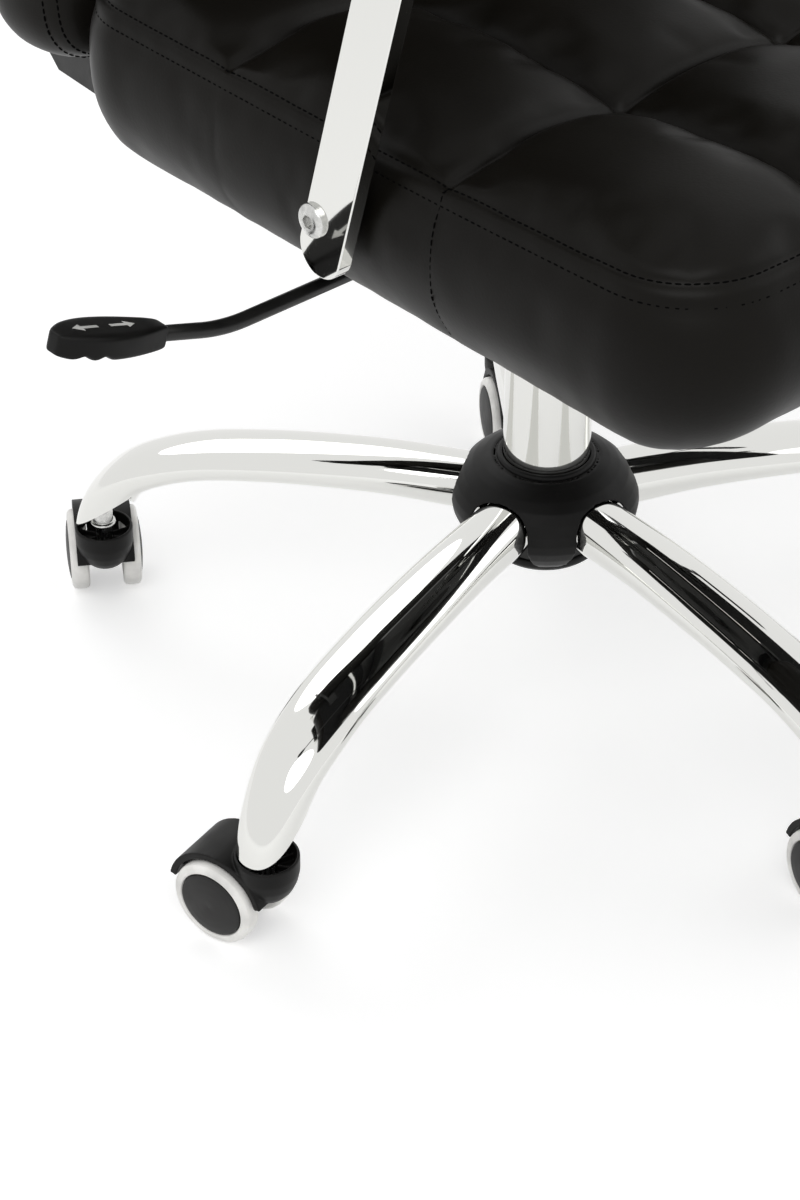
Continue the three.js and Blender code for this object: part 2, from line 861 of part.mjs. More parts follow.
function leverGrip() {
  const sides = 12;
  const rings = gripStations.map(([distance, width, above, below]) => {
    const middle = leverSpot(gripStart + distance);
    const ring = [];
    for (let side = 0; side < sides; side += 1) {
      const angle = ((side + half) / sides) * fullTurn * radians;
      const across = width * half * power(Math.cos(angle), half + 0.2);
      const lift = power(Math.sin(angle), half + 0.2);
      const up = lift * (lift > 0 ? above : below);
      ring.push([middle[0] + rise[1] * up, middle[1] + across, middle[2] - rise[0] * up]);
    }
    return ring;
  });
  const boreLine = [leverSpot(0), leverSpot(gripStart + boreDepth)];
  const bore = roundTube(boreLine, leverRadius + fitGap, 10, [0, 1, 0]);
  return loft(rings).subtract(bore);
}

function addMechanism() {
  addPiece('lift_rod', rod('z', [0, 0], rodRadius, rodFoot, socketTop - rodDrop, hubSegments), zincSteel);
  addPiece('tilt_housing', tiltHousing(), blackSteel);
  addPiece('tilt_pin', tiltPinBody(), zincSteel);
  addPiece('tension_knob', tensionKnob(), blackPlastic);
  addPiece('lever_rod', leverRod(), blackSteel);
  addPiece('lever_grip', leverGrip(), blackPlastic);
  addPiece('seat_plate', seatPlate(), blackSteel);
}

// Seat
const boardInset = 10;
const boardEdge = 16;
const boardCorner = 32;
const blockDepth = 21;
const blockProud = 1;
const blockHalf = 30;
const blockRise = 19;
const boltTail = 2;
const seatShape = { crown: seatCrown, tuft: seatTuft, bulge: 8, corner: 26 };
const boardHalf = seatHalf - boardInset;
const blockInner = boardHalf - blockDepth;
const blockOuter = boardHalf + blockProud;
const blockTop = strutBolt[1] + blockRise;

function armBlock(grow) {
  const middle = strutBolt[0];
  const sides = [-blockOuter - grow, -blockInner + grow];
  const ends = [middle - blockHalf - grow, middle + blockHalf + grow];
  return box(...sides, ...ends, boardFoot + boardWall - half - grow, blockTop + grow);
}

function boltHole(grow) {
  return rod('x', strutBolt, boltRadius + grow, -strutInner, boltTail - blockInner - boltRadius, 12);
}

function seatBoard() {
  const ends = [seatFront + boardEdge, seatRear - boltRadius];
  const outline = roundedRect(-boardHalf, boardHalf, ...ends, boardCorner, 4);
  const sheet = prism('z', outline, boardFoot, boardFoot + boardWall);
  const right = armBlock(0).subtract(boltHole(fitGap));
  return union([sheet, right, right.mirror([1, 0, 0])]);
}

function seatCushion() {
  const cushion = paddedBlock({
    across: seatSeamsAcross,
    along: seatSeamsAlong,
    cellsAcross: 4,
    cellsAlong: 4,
    foot: boardFoot + boardWall + fitGap,
    top: seamHeight,
    ...seatShape,
  });
  const pocket = armBlock(softGap).add(boltHole(softGap + softGap));
  return cutOut(cushion, [pocket, pocket.mirror([1, 0, 0])]);
}

const hingeInset = 54;
const hingeInner = shellHalf - hingeInset;
const hingeWall = 5;
const hingePinRadius = 6;
const bracketInner = hingeInner + hingeWall + fitGap;
const hingeEye = 13;
const hingeTurn = 20;
const hingeCorners = [[8, 0], [8, 19], [30, 25], [62, 25]];
const flangeWidth = 20;
const flangeEnds = [10, 66];

function reclineHinge() {
  const outline = [
    ...hingeCorners.map(([along, drop]) => [along, plateTop - drop]),
    ...arc(backHinge, hingeEye, -rightTurn - hingeTurn, rightTurn, 7),
    [seatRear + softGap, plateTop],
  ];
  const plate = prism('x', outline, -hingeInner - hingeWall, -hingeInner);
  const flange = box(-hingeInner - half, flangeWidth - hingeInner, ...flangeEnds, plateFoot, plateTop);
  const head = bracketInner + hingeWall + fitGap;
  const pin = turned('x', [
    [0, -hingeInner - half],
    [hingePinRadius, -hingeInner - half],
    [hingePinRadius, -head],
    [hingePinRadius + pinHead, -head],
    [hingePinRadius + pinHead, -head - pinHead],
    [0, -head - pinHead],
  ], 14, backHinge);
  return union([plate, flange, pin]);
}

const pivotDrop = 15;
const tipDrop = 20;
const handlePivot = [45, boardFoot - pivotDrop];
const handleRadius = 5;
const handleTip = [-40, boardFoot - tipDrop];

function reclineHandle() {
  const inner = hingeInner - 8;
  const shaft = rod('x', handlePivot, handleRadius, inner, seatHalf + 18, 12);
  const blade = prism('x', capsule(handlePivot, handleTip, 10, 6), seatHalf + 16, seatHalf + 25);
  return shaft.add(blade);
}

function armBolt() {
  const shoulder = strutInner - fitGap;
  const outer = strutInner + strutWall + fitGap;
  const bolt = turned('x', [
    [0, -blockInner - boltRadius],
    [boltRadius, -blockInner - boltRadius],
    [boltRadius, -seatHalf - 8.5],
    [boltRadius + 3, -seatHalf - 8.5],
    [boltRadius + 3, -shoulder],
    [boltRadius, -shoulder],
    [boltRadius, -outer],
    [boltHeadRadius, -outer],
    [boltHeadRadius, -outer - boltHeadHeight + 1],
    [boltHeadRadius - 1, -outer - boltHeadHeight],
    [0, -outer - boltHeadHeight],
  ], 12, strutBolt);
  const key = rod('x', strutBolt, boltRadius - half, -outer - 2 * boltHeadHeight, -outer - 1.5, 6);
  return bolt.subtract(key);
}

function addSeat() {
  addPiece('seat_board', seatBoard(), plywood);
  addPiece('seat_cushion', seatCushion(), blackLeather);
  const hinge = reclineHinge();
  const handleHole = rod('x', handlePivot, handleRadius + fitGap, hingeInner - 20, hingeInner + 20, 12);
  addPiece('recline_hinge_right', hinge, blackSteel);
  addPiece('recline_hinge_left', hinge.mirror([1, 0, 0]).subtract(handleHole), blackSteel);
  addPiece('recline_handle', reclineHandle(), blackPlastic);
  addPair('arm_bolt', armBolt(), zincSteel);
}

// Back: made upright with its foot at z = 0 and its shell from y = 0, then leaned and lifted
function leaned(body) {
  return body.rotate([-backLean, 0, 0]).translate([0, ...backRoot]);
}

function standing(body) {
  return body.rotate([rightTurn, 0, 0]);
}

function backShell() {
  const outline = roundedRect(-shellHalf, shellHalf, shellFoot, shellTop, shellCorner, 5);
  const sheet = leaned(prism('y', outline, 0, shellWall));
  const reach = shellHalf + boltRadius;
  const hole = rod('x', railBack, studRadius + fitGap, -reach, studBoreDepth - shellHalf, boreSides);
  return cutOut(sheet, [hole, hole.mirror([1, 0, 0])]);
}

function evenSeams(from, to, count) {
  return Array.from({ length: count + 1 }, (unused, row) => from + ((to - from) * row) / count);
}

function backCushion() {
  const cushion = paddedBlock({
    across: seamSharesAcross.map((share) => share * (shellHalf - cushionInset)),
    along: evenSeams(0, backCushionHeight, backRows),
    cellsAcross: 3,
    cellsAlong: 3,
    foot: fitGap,
    top: backSeamDepth,
    ...backShape,
  });
  return leaned(standing(cushion));
}

function headCushion() {
  const cushion = paddedBlock({
    across: evenSeams(-headHalf, headHalf, 3),
    along: [headFoot, headTop],
    cellsAcross: 4,
    cellsAlong: 5,
    foot: fitGap,
    top: headSeamDepth,
    ...headShape,
  });
  return leaned(standing(cushion));
}

// The bracket's plate from its hinge, along and up, and its lug's width, wall, foot and top
const bracketTurn = 10;
const bracketCorners = [[40, -10], [64, 14], [87, 205], [68, 210], [49, 26], [42, hingeEye]];
const bracketLug = [22, 3, 20, 180];

function backBracket() {
  const outline = [
    ...arc(backHinge, hingeEye, rightTurn, 3 * rightTurn - bracketTurn, 6),
    ...bracketCorners.map(([along, up]) => [backHinge[0] + along, backHinge[1] + up]),
  ];
  const plate = prism('x', outline, -bracketInner - hingeWall, -bracketInner);
  const lugFace = shellWall + fitGap;
  const lugWidth = [-bracketInner - half, bracketLug[0] - bracketInner];
  const lug = leaned(box(...lugWidth, lugFace, lugFace + bracketLug[1], bracketLug[2], bracketLug[3]));
  const hole = rod('x', backHinge, hingePinRadius + fitGap, -bracketInner - passThrough, 0, boreSides);
  const room = leaned(box(-shellHalf, shellHalf, -passThrough, lugFace, shellFoot - half, shellTop));
  return cutOut(plate.add(lug), [hole, room]);
}

function addBack() {
  addPiece('back_shell', backShell(), blackLeather);
  addPiece('back_cushion', backCushion(), blackLeather);
  addPiece('head_cushion', headCushion(), blackLeather);
  addPair('back_bracket', backBracket(), blackSteel);
}

// Arms
const railInner = strutInner + strutWall + railGap;

function armStrut() {
  const bar = prism('x', capsule(strutFoot, strutTop, strutHalf, 7), -strutInner - strutWall, -strutInner);
  const low = rod('x', strutBolt, boltRadius + fitGap, -railInner, 0, boreSides);
  const high = rod('x', strutTop, studRadius + openClearance, -railInner, 0, boreSides);
  return cutOut(bar, [low, high]);
}

function armRail() {
  const bar = prism('x', capsule(railBack, railFront, railHalf, 7), -railInner - railWall, -railInner);
  const front = rod('x', strutTop, studRadius, -railInner - half, -strutInner, boreSides);
  const rear = turned('x', [
    [0, -railInner - half],
    [studRadius + studCollar, -railInner - half],
    [studRadius + studCollar, -shellHalf - studSink],
    [studRadius, -shellHalf - studSink],
    [studRadius, studDepth - shellHalf],
    [0, studDepth - shellHalf],
  ], boreSides, railBack);
  return union([bar, front, rear]);
}

function armPad() {
  const middle = -railInner - railWall * half - padOffset;
  return paddedBlock({
    across: [middle - padWidth * half, middle + padWidth * half],
    along: [padFront, padRear],
    cellsAcross: padCells[0],
    cellsAlong: padCells[1],
    foot: railBack[1] + railHalf + fitGap,
    top: railBack[1] + railHalf + padHeight,
    ...padShape,
  });
}

function addArms() {
  addPair('arm_strut', armStrut(), chrome);
  addPair('arm_rail', armRail(), chrome);
  addPair('arm_pad', armPad(), blackLeather);
}

// Footrest, stowed under the seat with its padded side down
function footrestGuides() {
  const foot = tubeHeight - tubeRadius - sleeveWall;
  const sides = [-tubeReach - sleeveHalf, sleeveHalf - tubeReach];
  const sleeve = box(...sides, guideFront, guideRear, foot, plateTop);
  const bridge = box(-tubeReach, tubeReach, bridgeFront, bridgeRear, plateFoot, plateTop);
  const ends = [guideFront - passThrough, guideRear + passThrough];
  const bore = rod('y', [-tubeReach, tubeHeight], tubeRadius + fitGap, ...ends, boreSides);
  return cutOut(union([sleeve, sleeve.mirror([1, 0, 0]), bridge]), [bore, bore.mirror([1, 0, 0])]);
}

function footrestFrame() {
  const steps = 5;
  const points = [[-tubeReach, frameRear, tubeHeight]];
  const bendCentre = [frameBend - tubeReach, frameFront + frameBend];
  const turnArc = arc(bendCentre, frameBend, 2 * rightTurn, 3 * rightTurn, steps);
  turnArc.forEach(([across, along]) => points.push([across, along, tubeHeight]));
  const rest = points.map(([across, along, height]) => [-across, along, height]).reverse();
  return roundTube([...points, ...rest], tubeRadius, 12, [0, 0, 1]);
}

const frontBar = [frameFront, tubeHeight];
const restTop = tubeHeight - tubeRadius - restDrop;

function footrestPlate() {
  const plateHalfWidth = restHalf - plateInset;
  const plateEnds = [restFront + plateMargin, restRear - plateMargin];
  const sheet = box(-plateHalfWidth, plateHalfWidth, ...plateEnds, restTop - restPlateWall, restTop);
  const reach = tubeRadius + fitGap;
  const bodies = [sheet];
  const bores = [];
  [-1, 1].forEach((way) => {
    const [low, high] = [way * strapInner, way * (strapInner + strapWidth)].sort((a, b) => a - b);
    bodies.push(rod('x', frontBar, reach + strapWall, low, high, 16));
    bodies.push(prism('x', [
      ...strapCorners.map(([along, up]) => [frontBar[0] + along, frontBar[1] - reach + up]),
      [restFront + strapReach, restTop],
      [restFront + strapReach, restTop - restPlateWall],
      [frontBar[0] + strapToe, restTop - restPlateWall],
    ], low, high));
    bores.push(rod('x', frontBar, reach, low - half, high + half, 16));
  });
  return cutOut(union(bodies), bores);
}

function footrestPad() {
  const top = restTop - restPlateWall - fitGap;
  const pad = paddedBlock({
    across: evenSeams(-restHalf, restHalf, 3),
    along: [restFront, restRear],
    cellsAcross: 4,
    cellsAlong: 5,
    foot: -top,
    top: restPadHeight - top,
    ...restShape,
  });
  return pad.mirror([0, 0, 1]);
}

function addFootrest() {
  addPiece('footrest_guides', footrestGuides(), blackSteel);
  addPiece('footrest_frame', footrestFrame(), chrome);
  addPiece('footrest_plate', footrestPlate(), blackSteel);
  addPiece('footrest_pad', footrestPad(), blackLeather);
}

addBase();
addMechanism();
addSeat();
addBack();
addArms();
addFootrest();

// The middle of the box goes to x = 0, y = 0; the floor stays at z = 0
const extent = new THREE.Box3().setFromObject(chair, true);
const centre = extent.getCenter(new THREE.Vector3());
chair.children.forEach((mesh) => mesh.geometry.translate(-centre.x, -centre.y, 0));

export default chair;
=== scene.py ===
import math

import bmesh
import bpy
import numpy as np
from mathutils import Matrix, Vector


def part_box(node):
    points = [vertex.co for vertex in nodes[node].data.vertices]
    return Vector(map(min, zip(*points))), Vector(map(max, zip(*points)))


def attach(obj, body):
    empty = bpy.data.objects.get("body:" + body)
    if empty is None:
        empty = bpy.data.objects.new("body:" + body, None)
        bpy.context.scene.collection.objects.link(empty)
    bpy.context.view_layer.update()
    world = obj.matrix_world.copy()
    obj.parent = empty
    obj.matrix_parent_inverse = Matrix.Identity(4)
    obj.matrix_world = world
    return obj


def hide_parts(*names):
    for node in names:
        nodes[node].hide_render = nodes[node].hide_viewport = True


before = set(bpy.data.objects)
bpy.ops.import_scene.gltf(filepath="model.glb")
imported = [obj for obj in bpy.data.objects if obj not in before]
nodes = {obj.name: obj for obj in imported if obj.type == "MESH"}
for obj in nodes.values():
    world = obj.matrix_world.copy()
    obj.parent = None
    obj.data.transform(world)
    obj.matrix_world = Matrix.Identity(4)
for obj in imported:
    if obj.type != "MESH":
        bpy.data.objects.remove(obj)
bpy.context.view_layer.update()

MM = 0.001
TUBE_LOW, TUBE_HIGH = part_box("column_tube")
COLUMN = ((TUBE_LOW[0] + TUBE_HIGH[0]) / 2, (TUBE_LOW[1] + TUBE_HIGH[1]) / 2)
HOME = Matrix.Translation((*COLUMN, 0))


def row_frame(points):
    """Millimetres round the column's foot to metres in the row frame."""
    spots = np.asarray(points, float).reshape(-1, 3) * MM
    spots[:, :2] += COLUMN
    return spots


def new_object(name, data):
    """An object in the scene for its data."""
    item = bpy.data.objects.new(name, data)
    bpy.context.scene.collection.objects.link(item)
    return item


def about_column(degrees):
    """A turn about the column's axis, in metres."""
    return HOME @ Matrix.Rotation(math.radians(degrees), 4, "Z") @ HOME.inverted()


# Camera at the photograph's place
CAMERA_LENS = 89.47
CAMERA_SPOT = [-999.7, -1008.1, 1098.8]
CAMERA_AHEAD = (0.5325, 0.6042, -0.5928)
CAMERA_RIGHT = (0.7502, -0.6612, 0)


def make_camera():
    data = bpy.data.cameras.new("camera")
    data.lens = CAMERA_LENS
    data.sensor_width = 36
    data.clip_start = 0.05
    data.clip_end = 50
    camera = new_object("camera", data)
    ahead = Vector(CAMERA_AHEAD).normalized()
    right = Vector(CAMERA_RIGHT).normalized()
    up = right.cross(ahead).normalized()
    turn = Matrix((right, up, -ahead)).transposed().to_4x4()
    spot = row_frame(CAMERA_SPOT)[0]
    camera.matrix_world = Matrix.Translation(Vector(spot)) @ turn
    bpy.context.scene.camera = camera


make_camera()


# Materials
def new_material(name, color, roughness, metallic=0.0, specular=0.5):
    """A material with its node tree, its shader and the object's own space."""
    material = bpy.data.materials.new(name)
    material.use_nodes = True
    tree = material.node_tree
    shader = tree.nodes["Principled BSDF"]
    shader.inputs["Base Color"].default_value = (*color, 1)
    shader.inputs["Roughness"].default_value = roughness
    shader.inputs["Metallic"].default_value = metallic
    shader.inputs["Specular IOR Level"].default_value = specular
    spot = tree.nodes.new("ShaderNodeTexCoord").outputs["Object"]
    return material, tree, shader, spot


def add_node(tree, kind, **inputs):
    node = tree.nodes.new(kind)
    for name, value in inputs.items():
        node.inputs[name.replace("_", " ")].default_value = value
    return node


def noise(tree, spot, scale, detail, **more):
    """The outputs of a noise in the object's own space."""
    cloud = add_node(tree, "ShaderNodeTexNoise", Scale=scale, Detail=detail, **more)
    tree.links.new(spot, cloud.inputs["Vector"])
    return cloud.outputs


def varied(tree, shader, spot, scale, low, high):
    """Roughness that drifts between two values."""
    span = add_node(tree, "ShaderNodeMapRange", From_Min=0.3, From_Max=0.7, To_Min=low, To_Max=high)
    tree.links.new(noise(tree, spot, scale, 3.0)[0], span.inputs["Value"])
    tree.links.new(span.outputs[0], shader.inputs["Roughness"])


def tinted(tree, shader, spot, scale, dark, light):
    """Base colour that drifts between two tones."""
    ramp = tree.nodes.new("ShaderNodeValToRGB")
    for stop, place, color in zip(ramp.color_ramp.elements, (0.35, 0.65), (dark, light)):
        stop.position = place
        stop.color = (*color, 1)
    tree.links.new(noise(tree, spot, scale, 4.0)[0], ramp.inputs[0])
    tree.links.new(ramp.outputs[0], shader.inputs["Base Color"])


def bumped(tree, shader, height, strength, distance, under=None):
    """Fine relief from a height, over an earlier relief if one is given."""
    bump = add_node(tree, "ShaderNodeBump", Strength=strength, Distance=distance)
    tree.links.new(height, bump.inputs["Height"])
    if under is not None:
        tree.links.new(under, bump.inputs["Normal"])
    tree.links.new(bump.outputs[0], shader.inputs["Normal"])
    return bump.outputs[0]


def simple_material(name, color, roughness, metallic=0.0, specular=0.5, vary=None, tint=None, grain=None):
    """A material with varied roughness, a drifting tone and a fine grain, where they are given."""
    material, tree, shader, spot = new_material(name, color, roughness, metallic, specular)
    if vary:
        varied(tree, shader, spot, *vary)
    if tint:
        tinted(tree, shader, spot, *tint)
    if grain:
        scale, detail, strength, distance = grain
        bumped(tree, shader, noise(tree, spot, scale, detail)[0], strength, distance)
    return material


def plastic_material(name, color, roughness, specular):
    vary = (60, roughness - 0.05, roughness + 0.06)
    tint = (40, [value * 0.85 for value in color], [value * 1.2 for value in color])
    return simple_material(name, color, roughness, 0.0, specular, vary, tint, (1800.0, 2.0, 0.12, 0.0002))


def leather_material():
    color = (0.0044, 0.0037, 0.0027)
    material, tree, shader, spot = new_material("black_leather", color, 0.42, 0.0, 0.11)
    varied(tree, shader, spot, 14, 0.36, 0.45)
    tinted(tree, shader, spot, 9, (0.0038, 0.0032, 0.0023), (0.0056, 0.0048, 0.0036))
    cells = add_node(tree, "ShaderNodeTexVoronoi", Scale=620.0)
    shift = tree.nodes.new("ShaderNodeVectorMath")
    shift.operation = "MULTIPLY_ADD"
    shift.inputs[1].default_value = (0.0012, 0.0012, 0.0012)
    tree.links.new(noise(tree, spot, 240.0, 0.0)["Color"], shift.inputs[0])
    tree.links.new(spot, shift.inputs[2])
    tree.links.new(shift.outputs[0], cells.inputs["Vector"])
    creases = noise(tree, spot, 55.0, 2.5, Roughness=0.55)[0]
    broad = bumped(tree, shader, creases, 0.08, 0.001)
    bumped(tree, shader, cells.outputs["Distance"], 0.07, 0.0003, broad)
    return material


CHROME = simple_material(
    "chrome", (0.74, 0.74, 0.715), 0.035, 1.0, vary=(18, 0.025, 0.05), grain=(35.0, 1.0, 0.015, 0.001),
)
ZINC = simple_material(
    "zinc_steel", (0.62, 0.62, 0.6), 0.25, 1.0, vary=(300, 0.16, 0.34),
    tint=(220, (0.5, 0.5, 0.49), (0.72, 0.72, 0.7)),
)
PLASTIC = plastic_material("black_plastic", (0.0055, 0.0053, 0.005), 0.46, 0.16)
DISC = plastic_material("disc_plastic", (0.014, 0.0135, 0.013), 0.5, 0.3)
TYRE = plastic_material("white_tyre", (0.88, 0.87, 0.84), 0.35, 0.4)
PRINT = plastic_material("pale_print", (0.6, 0.6, 0.58), 0.5, 0.3)
PAINT = simple_material(
    "black_paint", (0.012, 0.012, 0.012), 0.38, 0.0, 0.35, (90, 0.3, 0.46),
    (70, (0.009, 0.009, 0.009), (0.016, 0.016, 0.015)), (700.0, 2.0, 0.1, 0.0003),
)
LEATHER = leather_material()
LINING = simple_material(
    "black_lining", (0.011, 0.011, 0.011), 0.9, 0.0, 0.2,
    tint=(160, (0.008, 0.008, 0.008), (0.016, 0.016, 0.016)), grain=(900.0, 4.0, 0.4, 0.0004),
)
THREAD = simple_material(
    "black_thread", (0.0006, 0.0006, 0.0006), 0.8, 0.0, 0.04, grain=(2600.0, 1.0, 0.4, 0.0002),
)


# Mesh helpers
def add_object(name, points, faces, material, smooth=True):
    data = bpy.data.meshes.new(name)
    data.from_pydata([tuple(spot) for spot in row_frame(points)], [], [tuple(face) for face in faces])
    data.update()
    piece = new_object(name, data)
    data.materials.append(material)
    outward(data)
    if smooth:
        data.shade_smooth()
    return piece


def outward(data):
    work = bmesh.new()
    work.from_mesh(data)
    bmesh.ops.recalc_face_normals(work, faces=work.faces)
    work.to_mesh(data)
    work.free()


def grid_faces(rows, columns, closed=True):
    faces = []
    for row in range(rows - 1):
        for column in range(columns if closed else columns - 1):
            following = (column + 1) % columns
            near, far = row * columns, (row + 1) * columns
            faces.append((near + column, near + following, far + following, far + column))
    return faces


def loft(rings, capped=True):
    rings = np.asarray(rings, float)
    rows, sides = rings.shape[:2]
    faces = grid_faces(rows, sides)
    if capped:
        faces.append(tuple(range(sides))[::-1])
        faces.append(tuple((rows - 1) * sides + side for side in range(sides)))
    return rings.reshape(-1, 3), faces


def hoop(rings):
    """Joins the last ring to the first, for a profile that closes on itself."""
    points = np.asarray(rings, float).reshape(-1, 3)
    faces = grid_faces(len(rings) + 1, len(rings[0]))
    return points, [tuple(corner % len(points) for corner in face) for face in faces]


AXES = {"x": (1, 2, 0), "y": (0, 2, 1), "z": (0, 1, 2)}


def revolve(profile, axis, centre, segments=64, ripple=None):
    """Turns (radius, along) pairs about an axis; ripple(angle, radius, along) may change a radius."""
    first, second, along_axis = AXES[axis]
    rings = []
    for radius, along in profile:
        ring = np.zeros((segments, 3))
        angles = np.arange(segments) * 2 * math.pi / segments
        reach = np.full(segments, max(radius, 0.001))
        if ripple:
            reach = np.array([ripple(angle, radius, along) for angle in angles])
        ring[:, first] = centre[0] + reach * np.cos(angles)
        ring[:, second] = centre[1] + reach * np.sin(angles)
        ring[:, along_axis] = along
        rings.append(ring)
    return rings


def rounded(profile, radius=0.6, steps=3):
    """Turns the corners of a path into smooth bends, smaller ones where two corners are close."""
    path = [np.array(spot, float) for spot in profile]
    result = [path[0]]
    for before, corner, after in zip(path, path[1:], path[2:]):
        into, out = before - corner, after - corner
        reach = min(radius, np.linalg.norm(into) * 0.45, np.linalg.norm(out) * 0.45)
        start = corner + into / max(np.linalg.norm(into), 1e-6) * reach
        end = corner + out / max(np.linalg.norm(out), 1e-6) * reach
        for step in range(steps + 1):
            share = step / steps
            result.append((1 - share) ** 2 * start + 2 * share * (1 - share) * corner + share ** 2 * end)
    result.append(path[-1])
    return result


def lathe(name, profile, axis, centre, material, segments=64, ripple=None, round_by=0.6):
    rings = revolve(rounded(profile, round_by), axis, centre, segments, ripple)
    if profile[0] == profile[-1]:
        points, faces = hoop(rings[:-1])
    else:
        points, faces = loft(rings)
    return add_object(name, points, faces, material)


def travelled(line):
    """The distance along a line up to each of its points."""
    return np.concatenate([[0], np.cumsum(np.linalg.norm(np.diff(line, axis=0), axis=1))])


def sampled(wanted, travel, values):
    """Rows of values read off at distances along a line."""
    return np.stack([np.interp(wanted, travel, column) for column in values.T], axis=-1)


def spline(points, count):
    """A smooth curve through rows of numbers, evenly stepped along its length in the first three."""
    rows = np.asarray(points, float)
    rows = np.vstack([2 * rows[0] - rows[1], rows, 2 * rows[-1] - rows[-2]])
    dense = []
    for row in range(1, len(rows) - 2):
        before, start, end, after = rows[row - 1:row + 3]
        for share in np.linspace(0, 1, 24, endpoint=False):
            dense.append(0.5 * (
                2 * start + (end - before) * share
                + (2 * before - 5 * start + 4 * end - after) * share ** 2
                + (3 * start - before - 3 * end + after) * share ** 3
            ))
    dense.append(rows[-2])
    dense = np.array(dense)
    reach = min(3, dense.shape[1])
    travel = travelled(dense[:, :reach])
    return sampled(np.linspace(0, travel[-1], count), travel, dense)


def sweep(path, radius, sides, flat, capped=True):
    """A round tube along a path that lies in one plane; flat is square to the plane."""
    path = np.asarray(path, float)
    flat = np.asarray(flat, float)
    rings = []
    for row in range(len(path)):
        before, after = path[max(row - 1, 0)], path[min(row + 1, len(path) - 1)]
        along = (after - before) / np.linalg.norm(after - before)
        cross = np.cross(along, flat)
        angles = np.arange(sides) * 2 * math.pi / sides
        rings.append(path[row] + radius * (np.outer(np.cos(angles), flat) + np.outer(np.sin(angles), cross)))
    return loft(rings, capped)


def squared(values, power):
    """Pushes cosines or sines towards a square outline."""
    return np.sign(values) * np.abs(values) ** power


def prism_faces(count, base=0):
    """Faces between an outline that starts at a point and the one that follows it."""
    faces = [tuple(range(base, base + count))]
    faces.append(tuple(range(base + 2 * count - 1, base + count - 1, -1)))
    for side in range(count):
        near, following = base + side, base + (side + 1) % count
        faces.append((near, following, count + following, count + near))
    return faces


def slab(name, outline, axis, low, high, material, bevel=0.6, segments=3):
    """A flat plate cut to an outline, with rounded edges."""
    points = []
    for level in (low, high):
        for spot in outline:
            point = [0, 0, 0]
            for way, value in zip(AXES[axis], (*spot, level)):
                point[way] = value
            points.append(point)
    piece = add_object(name, points, prism_faces(len(outline)), material)
    soften(piece, bevel, segments)
    return piece


def cutter(name, outline, axis, low, high, material):
    """A sharp-edged block that is cut from a piece or joined to it."""
    tool = slab(name, outline, axis, low, high, material)
    tool.modifiers.clear()
    return tool


def soften(piece, width, segments=3, angle=35):
    """Rounds the sharp edges of a hard piece."""
    bevel = piece.modifiers.new("edges", "BEVEL")
    bevel.width = width * MM
    bevel.segments = segments
    bevel.limit_method = "ANGLE"
    bevel.angle_limit = math.radians(angle)
    bevel.harden_normals = True


def apply_modifiers(piece):
    graph = bpy.context.evaluated_depsgraph_get()
    graph.update()
    data = bpy.data.meshes.new_from_object(piece.evaluated_get(graph), depsgraph=graph)
    old = piece.data
    piece.modifiers.clear()
    piece.data = data
    data.name = old.name
    bpy.data.meshes.remove(old)


def remove(pieces):
    for piece in pieces:
        data = piece.data
        bpy.data.objects.remove(piece)
        bpy.data.meshes.remove(data)


def carve(piece, tools, mode="DIFFERENCE"):
    """Cuts the tools from a piece, or joins them to it."""
    for tool in tools:
        cut = piece.modifiers.new("cut", "BOOLEAN")
        cut.operation = mode
        cut.solver = "EXACT"
        cut.object = tool
        apply_modifiers(piece)
    remove(tools)


def moulded(piece, voxel, smoothing, keep):
    """Turns hard joins into the soft radii of a moulding."""
    remesh = piece.modifiers.new("remesh", "REMESH")
    remesh.mode = "VOXEL"
    remesh.voxel_size = voxel * MM
    smooth = piece.modifiers.new("smooth", "SMOOTH")
    smooth.factor = 0.5
    smooth.iterations = smoothing
    thin = piece.modifiers.new("thin", "DECIMATE")
    thin.ratio = keep
    apply_modifiers(piece)
    piece.data.shade_smooth()


def set_out(piece, body, replaced=()):
    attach(piece, body)
    if replaced:
        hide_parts(*replaced)
    return piece


def arc(centre, radius, start, end, steps):
    angles = np.radians(np.linspace(start, end, steps + 1))
    return [(centre[0] + radius * math.cos(a), centre[1] + radius * math.sin(a)) for a in angles]


def capsule(start, end, radius, steps=20):
    heading = math.degrees(math.atan2(end[1] - start[1], end[0] - start[0]))
    near = arc(start, radius, heading + 90, heading + 270, steps)
    return near + arc(end, radius, heading - 90, heading + 90, steps)


# Hub, column and legs
LEG_ANGLES = [122.6 + 72 * leg for leg in range(5)]
CASTER_REACH = 275
LEG_STATIONS = [
    (34.2, 133, 36, 31), (50, 133, 36, 31), (90, 133.3, 38.5, 28), (130, 131, 41, 25.6), (168, 127, 42, 23.8),
    (206, 120.5, 42, 23), (234, 111, 41, 23.6), (254, 99, 38, 25), (268, 80, 34, 29), (275, 60, 31.4, 31.6),
    (276, 40, 31, 31.6),
]
LEG_SQUARENESS = 2 / 2.25
LEG_STEPS, LEG_ROWS, LEG_SIDES = 150, 110, 72
LEG_WALL = 1.9
# The oblique cut over the caster, as (reach, height) at its inner and outer end
CUT_INNER, CUT_OUTER = (258.5, 84.5), (291, 59)
# Where the search for that cut starts, as a row and a reach
CUT_ROW, CUT_REACH = 90, 252
HOLLOW_ROWS = 70


